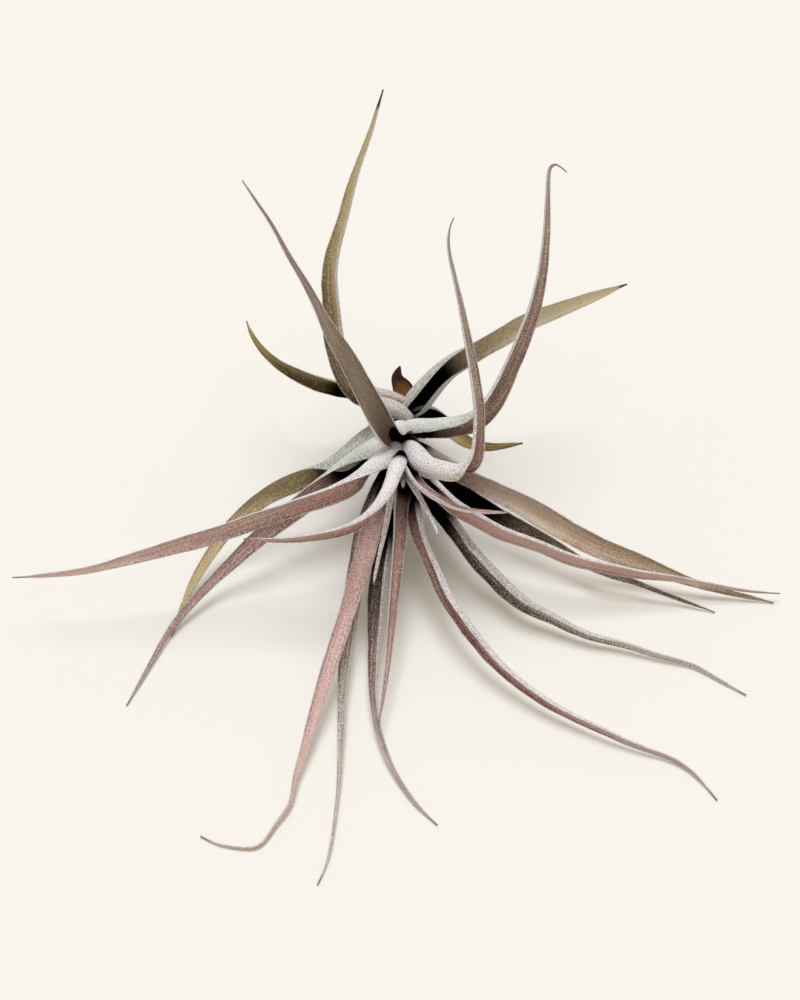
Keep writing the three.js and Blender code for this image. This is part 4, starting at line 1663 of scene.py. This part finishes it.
            (2, 34, 24), (8, 28, 25), (15, 22.5, 25), (22, 18.5, 24), (31, 13.5, 22.5),
            (43, 7.5, 20.5), (57, -1, 17.5), (70, -6, 13), (83, -9, 9.5), (97, -13.5, 6),
            (111, -16.5, 3), (125, -19, 1), (130, -20, 0.3),
        ),
        sheath=Sheath((0, -0.85, 0.5), 115, (10, 38)),
        opens=((0, -0.6, 0.8), (0, -0.2, 0.97), (0, 0, 1)),
        breadth=(6.4, 6.2, 8.2, 6.8, 2.8, 0.8),
        roll=(110, 75, 65, 60, 50, 30),
        base_shade_outside=(6, 14),
        base_shade_inside=(14, 28),
        fuzz=Fuzz(reach=(0.4, 0.9), breadth=0.13),
    ),
    Leaf(
        node="front_dark_leaf",
        slot=Slot.UMBER,
        finish=LeafFinish(
            inner=(T.UMBER, T.UMBER, T.UMBER, T.COCOA, T.LILAC, T.LILAC),
            outer=GREY_OUTSIDE,
            scales=T.CHALK,
            middle=T.COCOA,
            inner_cover=(-0.2, 0.25),
            outer_cover=(0.66, 0.8),
        ),
        route=(
            (0, 28, 24), (-2, 18, 19), (-4.5, 7, 16), (-7, -11, 13), (-8.5, -24, 11),
            (-9.5, -41, 8), (-10, -59, 6), (-8.5, -72, 4), (-4.5, -85, 2.4), (0.5, -94.5, 1.4),
            (5.5, -101.5, 0.9), (11, -107, 0.3),
        ),
        sheath=Sheath((-0.6, 0, 0.8), 100, (0, 20)),
        opens=((-0.7, 0, 0.7), (-0.65, 0.05, 0.75), (-0.5, -0.1, 0.8), (0, 0, 1)),
        breadth=(6.4, 6.6, 6.4, 3, 1.7, 0.7),
        roll=(100, 103, 100, 90, 70, 35),
        base_shade_outside=(24, 50),
        base_shade_inside=(24, 52),
    ),
    Leaf(
        node="front_right_under_leaf",
        slot=Slot.UMBER,
        finish=LeafFinish(
            inner=(T.UMBER, T.COCOA, T.COCOA, T.TAUPE, T.PEWTER, T.PEWTER),
            outer=GREY_OUTSIDE,
            scales=T.CHALK,
            bloom=T.CHALK,
            middle=T.COCOA,
            inner_cover=(-0.2, 0.85),
            outer_cover=(0.68, 0.8),
        ),
        route=(
            (1, 29, 24), (6, 20, 21), (12, 9, 18), (16.5, 4, 16), (24, -7, 13), (32, -16, 10),
            (41, -25, 8), (51, -30, 6), (63, -36, 4), (75, -39, 3), (88, -43.5, 2),
            (99, -46.5, 1.2), (107, -52, 0.8), (116, -58, 0.3),
        ),
        sheath=Sheath((-0.6, -0.4, 0.65), 100, (0, 20)),
        opens=((-0.6, -0.4, 0.65), (-0.56, -0.65, 0.5), (-0.36, -0.75, 0.55), (-0.15, -0.3, 0.9)),
        breadth=(5.4, 6.4, 7, 3.3, 2, 0.7),
        roll=(100, 100, 100, 95, 70, 35),
        base_shade_outside=(24, 40),
        base_shade_inside=(24, 42),
    ),
    Leaf(
        node="side_right_leaf_dark",
        slot=Slot.UMBER,
        finish=LeafFinish(
            inner=(T.UMBER, T.UMBER, T.UMBER, T.COCOA, T.MOSS, T.SLATE),
            outer=GREY_OUTSIDE,
            scales=T.CHALK,
            bloom=T.SAND,
            middle=T.COCOA,
            inner_cover=(0.04, 0.14),
        ),
        route=(
            (3, 34, 21), (10, 26, 18), (20, 18, 16), (31, 10, 15), (41, 3.5, 14), (52, -2.5, 12),
            (62.5, -9, 10), (71, -13, 8.5), (81, -15, 6), (90, -18, 4), (100, -21, 1.8),
            (109, -24, 0.3),
        ),
        sheath=Sheath((0, -0.6, 0.75), 110, (0, 20)),
        opens=((0, -0.6, 0.75), (0, -0.5, 0.85), (0, 0, 1)),
        breadth=(6.4, 7, 6, 3.4, 1.8, 0.7),
        roll=(110, 75, 60, 50, 45, 30),
        base_shade_outside=(20, 50),
        base_shade_inside=(28, 62),
    ),
    Leaf(
        node="front_under_leaf",
        slot=Slot.UMBER,
        finish=LeafFinish(
            inner=(T.COCOA, T.TAUPE, T.TAUPE, T.TAUPE, T.STRAW, T.LILAC),
            outer=GREY_OUTSIDE,
            scales=T.CHALK,
            bloom=T.CHALK,
            middle=T.TAUPE,
            inner_cover=(0.1, 0.6),
            outer_cover=(0.8, 0.8),
        ),
        route=(
            (-1, 30, 21), (-5, 22, 19), (-9, 13, 17), (-13, 1, 15), (-15.5, -14, 12),
            (-17.5, -29, 9), (-20, -55, 5), (-20.5, -75, 3), (-21, -93, 1.8), (-22.5, -110, 1),
            (-24, -120, 0.7), (-27, -128, 0.3),
        ),
        sheath=Sheath((-0.4, 0, 0.9), 100, (0, 20)),
        opens=((-0.5, 0.1, 0.85), (-0.5, 0.1, 0.85), (-0.3, 0.2, 0.93)),
        breadth=(6.4, 7, 6, 2.8, 1.1, 0.7),
        roll=(100, 90, 90, 80, 50, 30),
        base_shade_outside=(4, 14),
        base_shade_inside=(6, 22),
    ),
    Leaf(
        node="side_left_leaf_outer",
        slot=Slot.OLIVE,
        finish=LeafFinish(
            inner=(T.MOSS, T.MOSS, T.OLIVE, T.KHAKI, T.GOLD, T.KHAKI),
            outer=OLIVE_OUTSIDE,
            scales=T.ASH,
            bloom=T.SAND,
            middle=T.KHAKI,
            outer_cover=(0.66, 0.6),
        ),
        route=(
            (-2, 45, 20), (-11, 36, 25), (-19, 24, 28), (-27, 18, 28), (-35.5, 15, 26),
            (-45, 13, 22), (-54, 9, 17), (-62, 3, 12), (-67.5, -4, 8), (-73, -13, 4.5),
            (-76.5, -21.5, 1.8), (-80, -34, 0.3),
        ),
        sheath=Sheath((0, -0.8, -0.3), 130, (26, 50)),
        opens=((0, -0.8, 0.5), (-0.1, -0.5, 0.8), (-0.2, -0.2, 0.9), (0, 0.15, 1)),
        breadth=(7, 8, 7.5, 5.0, 3.4, 0.8),
        roll=(120, 85, 60, 50, 45, 30),
        base_shade_outside=(0, 6),
        base_shade_inside=(30, 50),
    ),
    Leaf(
        node="back_right_leaf",
        slot=Slot.OLIVE,
        finish=LeafFinish(
            inner=(T.UMBER, T.TAUPE, T.TAUPE, T.KHAKI, T.SAND, T.GOLD, T.GOLD),
            outer=OLIVE_OUTSIDE,
            scales=T.ASH,
            bloom=T.SAND,
            middle=T.KHAKI,
            outer_cover=(0.82, 0.6),
            inner_cover=(0, 1),
            tip=T.UMBER,
            tip_from=0.96,
        ),
        route=(
            (2, 56, 14), (7, 57, 22), (10.5, 57.5, 28), (16.5, 59.5, 35), (26, 60, 43),
            (37, 62, 50), (45, 65, 54), (53, 67, 56), (63, 69.5, 59), (74, 74, 60), (80, 76, 61),
        ),
        sheath=Sheath((0.1, -0.15, 1), 150, (10, 48)),
        opens=((0.1, -0.2, 1), (0.1, -0.25, 0.97), (0.2, -0.3, 0.93)),
        breadth=(9.5, 8.8, 7.0, 6.8, 6.9, 5.8, 4.0, 0.9),
        roll=(140, 130, 110, 75, 60, 50, 45, 30),
        base_shade_outside=(0, 4),
        base_shade_inside=(16, 36),
    ),
    Leaf(
        node="back_left_leaf",
        slot=Slot.OLIVE,
        finish=LeafFinish(
            # Painted shade: the inside starts near black, deep in the channel
            inner=(T.BLACK, T.BLACK, T.BLACK, T.MOSS, T.MOSS, T.OLIVE, T.OLIVE),
            outer=(T.OLIVE, T.OLIVE, T.OLIVE, T.OLIVE),
            scales=T.CHALK,
            bloom=T.GOLD,
            # Painted highlight: the tint lies toward one margin, along its lit edge
            middle=T.KHAKI,
            middle_at=0.5,
            middle_tint=0.5,
            outer_cover=(0.7, 0.6),
            inner_cover=(-0.2, 0),
            tip=T.OLIVE,
        ),
        route=(
            (4, 60, 10), (-1, 63, 13), (-8, 61, 18), (-14, 59, 22), (-22, 57.5, 26),
            (-30, 55.5, 31), (-37, 56.5, 34), (-44, 58.5, 37), (-51, 64.5, 39), (-55, 70.5, 41),
            (-57, 76, 42),
        ),
        sheath=Sheath((0, -0.95, 0.1), 120, (10, 40)),
        opens=((-0.2, -0.75, 0.6), (-0.2, -0.61, 0.73), (-0.2, -0.3, 0.9)),
        breadth=(4.4, 6, 7.4, 5.9, 3, 0.8),
        roll=(110, 90, 75, 60, 45, 30),
        base_shade_outside=(0, 4),
        base_shade_inside=(24, 50),
    ),
    Leaf(
        node="low_right_leaf",
        slot=Slot.OLIVE,
        finish=LeafFinish(
            # Painted shade: the inside starts near black, deep in the channel
            inner=(T.BLACK, T.MOSS, T.GOLD, T.OLIVE, T.OLIVE),
            outer=(T.SLATE, T.PEWTER, T.GOLD),
            scales=T.ASH,
            bloom=T.GOLD,
            middle=T.GOLD,
            middle_at=-0.5,
            middle_tint=0.6,
            inner_cover=(0, 0.05),
            tip=T.UMBER,
        ),
        route=(
            (3, 59, 8), (10, 56, 15), (16, 47, 18), (22, 38, 20), (28, 34, 21), (34, 33, 22),
            (38, 33, 23), (43, 33, 24),
        ),
        sheath=Sheath((0, -0.6, 0.75), 110, (0, 20)),
        opens=((0, -0.6, 0.75), (0, -0.4, 0.9), (0, -0.2, 0.97)),
        breadth=(6, 6.6, 6.4, 5, 3, 0.9),
        roll=(110, 85, 65, 50, 45, 30),
        base_shade_outside=(0, 10),
        base_shade_inside=(14, 30),
    ),
    # What is left of a dead leaf
    Leaf(
        node="dried_sheath",
        slot=Slot.DRIED,
        finish=DriedFinish(),
        route=(
            (1, 62, 8), (0.6, 67, 12.5), (-1, 69, 15.5), (-2.2, 70, 18), (-1.6, 70.7, 20.8),
            (-1, 71, 23),
        ),
        sheath=Sheath((0, 0, 1), 70, (0, 8)),
        opens=((0, 0, 1),),
        breadth=(8.4, 9.4, 7.4, 4.4, 0.8),
        roll=(70, 70, 70, 60, 30),
        keel_thickness=0.5,
        margin_thickness=0.25,
        evening=1.5,
        fuzz=None,
    ),
)


@dataclass(frozen=True)
class Plant:
    """The whole plant.

    Attributes:
        stem: Its stem.
        leaves: Its leaves, from the innermost out.
    """

    stem: Stem
    leaves: tuple[Leaf, ...]

    def build(self) -> None:
        """Builds every piece, each with random draws of its own, and reports it."""
        for index, part in enumerate((self.stem, *self.leaves)):
            piece = part.build(np.random.default_rng(SEED + index))
            logger.info("%s: %d faces", piece.name, len(piece.data.polygons))


@dataclass(frozen=True)
class Studio:
    """The pale surface, the soft light and the camera.

    Attributes:
        aim: The point on the surface that the camera looks at, in millimetres.
        elevation: The camera's angle above the surface, in degrees.
        distance: From the camera to the aim, in millimetres.
        lens: Focal length, in millimetres.
        sensor: The sensor's long side, in millimetres.
        sun_height: The lamp's angle above the surface, in degrees.
        sun_heading: How far the lamp stands to the left of straight behind, in degrees.
        sun_breadth: The angle that the lamp fills, in degrees.
        sun_strength: The lamp's light, in watts a square metre.
        sun_colour: The lamp's colour, in linear light.
        fill: Strength of the even light from all round.
        fill_colour: Its colour, in linear light.
        shade: The darker colour of the surface, in linear light.
        light: The lighter one.
        floor_reach: From the middle of the surface to its edges, in millimetres.
        floor_drop: How far below the plant it lies, so that the two don't touch, in millimetres.
    """

    aim: Point = (-1, 26, 0)
    elevation: float = ELEVATION
    distance: float = 680.0
    lens: float = 66.88
    sensor: float = 36.0
    sun_height: float = 68.0
    sun_heading: float = 6.0
    sun_breadth: float = 30.0
    sun_strength: float = 2.04
    sun_colour: Point = (0.841, 0.906, 1.0)
    fill: float = 0.6
    fill_colour: tuple[float, ...] = (1.0, 0.935, 0.82, 1)
    shade: tuple[float, ...] = (0.84, 0.81, 0.75, 1)
    light: tuple[float, ...] = (0.87, 0.84, 0.785, 1)
    floor_reach: float = 2500.0
    floor_drop: float = 0.2

    FLOOR_CLOUD = Cloud(6, 2)
    FLOOR_ROUGHNESS = 0.8

    def build(self) -> None:
        """Builds the surface, the lights, the world and the camera."""
        self.build_floor()
        self.build_world()
        self.build_sun()
        self.build_camera()
        bpy.context.scene.view_settings.view_transform = "Standard"

    def build_floor(self) -> None:
        """A wide pale sheet with a faint unevenness of tone."""
        corners = np.array([(-1, -1, -1), (1, -1, -1), (1, 1, -1), (-1, 1, -1)])
        points = corners * [self.floor_reach, self.floor_reach, self.floor_drop]
        floor = make_piece("floor", points * MM, [[0, 1, 2, 3]], {})
        brush = Brush("floor")
        place = brush.node("ShaderNodeTexCoord", {}).outputs["Object"]
        cloud = brush.noise(place, self.FLOOR_CLOUD)
        brush.feed(brush.shader.inputs["Base Color"], brush.blend(cloud, self.shade, self.light))
        brush.shader.inputs["Roughness"].default_value = self.FLOOR_ROUGHNESS
        floor.data.materials.append(brush.material)

    def build_world(self) -> None:
        """An even, warm light from all round."""
        world = bpy.data.worlds.new("soft_light")
        world.use_nodes = True
        background = world.node_tree.nodes["Background"]
        background.inputs["Color"].default_value = self.fill_colour
        background.inputs["Strength"].default_value = self.fill
        bpy.context.scene.world = world

    def build_sun(self) -> None:
        """A broad, faintly cool lamp, far off behind the plant."""
        data = bpy.data.lights.new("window", "SUN")
        data.energy = self.sun_strength
        data.color = self.sun_colour
        data.angle = np.radians(self.sun_breadth)
        lamp = bpy.data.objects.new("window", data)
        tilt = np.radians(90 - self.sun_height)
        lamp.rotation_euler = (-tilt, 0, np.radians(self.sun_heading))
        bpy.context.scene.collection.objects.link(lamp)

    def build_camera(self) -> None:
        """The camera, square to the plant and looking down at the aim."""
        data = bpy.data.cameras.new("camera")
        data.sensor_width = self.sensor
        data.lens = self.lens
        tilt = np.radians(self.elevation)
        offset = np.array([0, -np.cos(tilt), np.sin(tilt)]) * self.distance
        camera = bpy.data.objects.new("camera", data)
        camera.location = (np.array(self.aim) + offset) * MM
        camera.rotation_euler = (np.pi / 2 - tilt, 0, 0)
        bpy.context.scene.collection.objects.link(camera)
        bpy.context.scene.camera = camera


def main() -> None:
    """Builds the studio and the plant."""
    logging.basicConfig(level=logging.INFO, format="%(name)s %(message)s")
    Studio().build()
    Plant(Stem(), LEAVES).build()


if __name__ == "__main__":
    main()
